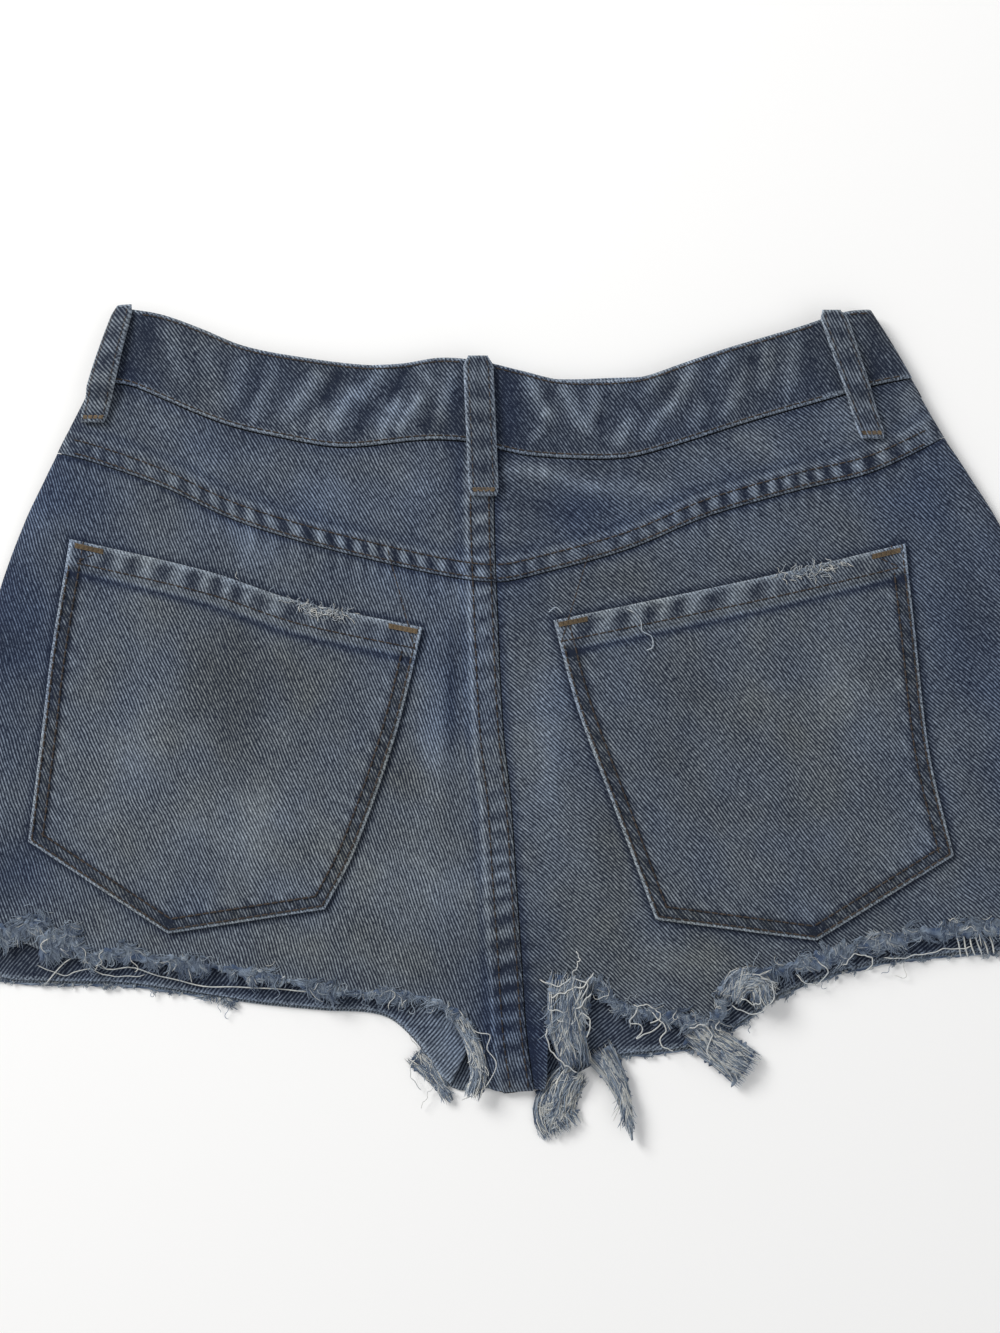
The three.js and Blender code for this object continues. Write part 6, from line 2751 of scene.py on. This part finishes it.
        turned = heading + random.normal(0, 0.08, locks) - 1.1 * own
        curled = self.threads.locks(base, turned, length, self.strands, 0.45, 0.28 * spec.curl,
                                    thick * 0.3)
        curled[:, :, 2] = np.maximum(curled[:, :, 2], THREAD_LOW)
        more = tubes(curled, self.threads.radii(len(curled), 0.13, 0.25),
                     self.threads.lock_tones(locks, self.strands, *spec.pale, spec.white))
        shape = Shape.joined([core, hair, more])
        return self.room.piece(f"{spec.node}_threads", shape, Slot.FRAY, "loose_cotton",
                               [spec.node])

    def single_threads(self) -> bpy.types.Object:
        """Long threads that can be followed one by one, and the ladder of bare weft.

        Returns:
            The piece.
        """
        parts = []
        for row in LOOSE:
            t = np.linspace(0, 1, 40)
            x, y = Path(row.points)(t)
            z = row.z + 0.25 * np.sin(t * 11) + 0.15 * np.sin(t * 23)
            x = x + 0.35 * np.sin(t * 17 + row.z) + 0.2 * np.sin(t * 31)
            y = y + 0.35 * np.cos(t * 19 + row.z) + 0.2 * np.cos(t * 37)
            parts.append(tubes(np.stack([x, y, z], -1)[None], np.array([row.radius * 0.66]),
                               np.array([row.pale - 0.08]), 5))
        (x1, y1), (x2, y2), rungs, long = LADDER
        for k in range(rungs):
            x, y = mix(x1, x2, k / (rungs - 1)), mix(y1, y2, k / (rungs - 1))
            t = np.linspace(0, 1, 10)
            path = np.stack([x + t * 3.0 + 0.3 * np.sin(t * 5 + k), y - t * long,
                             np.full(t.shape, 5.4) - 1.2 * t], -1)
            parts.append(tubes(path[None], np.array([0.34]), np.array([0.85]), 5))
        return self.room.piece("single_threads", Shape.joined(parts), Slot.FRAY, "loose_cotton")

    def pocket_wear(self) -> bpy.types.Object:
        """Broken threads on the two pocket hems, and the long loose one on the right pocket.

        Returns:
            The piece.
        """
        random = self.threads.random
        off = LAY_GAP + CLOTH + POCKET_HEM_RISE
        parts = []
        for hand, centre, reach, count in POCKET_WEAR:
            top = Path(POCKETS[hand]["top"])
            share = centre + random.normal(0, reach / 1.6, count)
            x, y = top(share)
            under = random.uniform(0.2, 5.5, count) * (1 - np.abs(share - centre) / (3 * reach))
            points = FORM.on(Face.BACK, x, y - under, off + 0.15)
            heading = np.where(random.uniform(0, 1, count) < 0.7, -0.25, 1.4)
            heading = heading + random.normal(0, 0.5, count)
            paths = self.threads.curled(points, heading, random.uniform(1.6, 4.6, count), 1.0,
                                        np.zeros(count), 6)
            paths[:, :, 2] = np.minimum(paths[:, :, 2], points[:, None, 2] + 0.45)
            parts.append(tubes(paths, self.threads.radii(count, 0.12, 0.24),
                               self.threads.paleness(count, 0.5, 0.8, 0.25)))
        for row in (LOOSE_ON_POCKET, SHORT_ON_POCKET):
            t = np.linspace(0, 1, 40)
            x, y = Path(row)(t)
            path = FORM.on(Face.BACK, x, y, off + 0.3)
            parts.append(tubes(path[None], np.array([0.30]), np.array([0.60]), 5))
        shape = Shape.joined(parts)
        return self.room.piece("pocket_broken_threads", shape, Slot.FRAY, "loose_cotton")

    def build(self) -> None:
        """Makes the four hems' lint, the tufts and the single threads."""
        for row in FRAYS:
            self.fray(*row)
        for spec in TUFTS:
            self.tuft(spec)
        self.single_threads()
        self.pocket_wear()


@dataclass
class Studio:
    """Pale floor, soft light and the camera straight above."""

    view_x: float = -6.9
    view_y: float = 24.7
    view_tall: float = 573.0
    distance: float = 800.0
    floor_half: float = 6000.0

    def camera(self) -> None:
        """A level camera over the garment, its frame as tall as the view at the cloth's height."""
        data = bpy.data.cameras.new("camera")
        data.sensor_fit = "VERTICAL"
        data.sensor_height = 36.0
        data.lens = data.sensor_height * self.distance / self.view_tall
        data.clip_end = 20.0
        camera = bpy.data.objects.new("camera", data)
        camera.location = [v * MM for v in (self.view_x + SHIFT[0], self.view_y + SHIFT[1],
                                            self.distance + BACK_LOW)]
        bpy.context.scene.collection.objects.link(camera)
        bpy.context.scene.camera = camera

    def lamp(self, name: str, place: tuple[float, float, float], size: float, power: float,
             colour: tuple[float, float, float]) -> None:
        """A square soft lamp that looks at the garment.

        Args:
            name: its name.
            place: where it stands, in metres.
            size: its side.
            power: its power in watts.
            colour: its colour.
        """
        data = bpy.data.lights.new(name, "AREA")
        data.size, data.energy, data.color = size, power, colour
        lamp = bpy.data.objects.new(name, data)
        x, y, z = place
        lamp.location = place
        lamp.rotation_euler = (math.atan2(math.hypot(x, y), z), 0.0,
                               math.atan2(y, x) + math.pi / 2)
        bpy.context.scene.collection.objects.link(lamp)

    def build(self) -> None:
        """Makes the floor, the lights and the world."""
        half = self.floor_half * MM
        mesh = bpy.data.meshes.new("floor")
        mesh.from_pydata([(-half, -half, 0), (half, -half, 0), (half, half, 0), (-half, half, 0)],
                         [], [(0, 1, 2, 3)])
        floor = bpy.data.objects.new("floor", mesh)
        bpy.context.scene.collection.objects.link(floor)
        tree = Tree("pale_floor")
        floor.data.materials.append(tree.finish(hue(0.93, 0.93, 0.93), 0.9))
        floor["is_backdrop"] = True
        self.lamp("key", (-1.5, 1.3, 1.3), 1.0, 54.0, (1.0, 0.99, 0.97))
        self.lamp("fill", (1.6, -0.6, 1.9), 2.2, 12.0, (0.96, 0.98, 1.0))
        world = bpy.data.worlds.new("studio")
        world.use_nodes = True
        background = world.node_tree.nodes["Background"]
        background.inputs["Color"].default_value = (1.0, 1.0, 1.0, 1.0)
        background.inputs["Strength"].default_value = 0.43
        bpy.context.scene.world = world
        bpy.context.scene.view_settings.view_transform = "Standard"


def corners(box: tuple) -> list[list[float]]:
    """A box's two corners as plain lists."""
    return [list(map(float, corner_)) for corner_ in box]


def main() -> None:
    """Builds the shorts from the back body to the hems, and works out the two boxes."""
    logging.basicConfig(level=logging.INFO, format="%(message)s")
    studio = Studio()
    studio.camera()
    room = Workroom()
    BackBody(room).build()
    for hand in HANDS:
        BackPocket(room, hand).build()
    Waist(room).build()
    FrontBody(room).build()
    Fly(room).build()
    RawHems(room).build()
    studio.build()
    {"cad": corners(CAD_BOX), "visual": corners(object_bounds())}


if __name__ == "__main__":
    main()
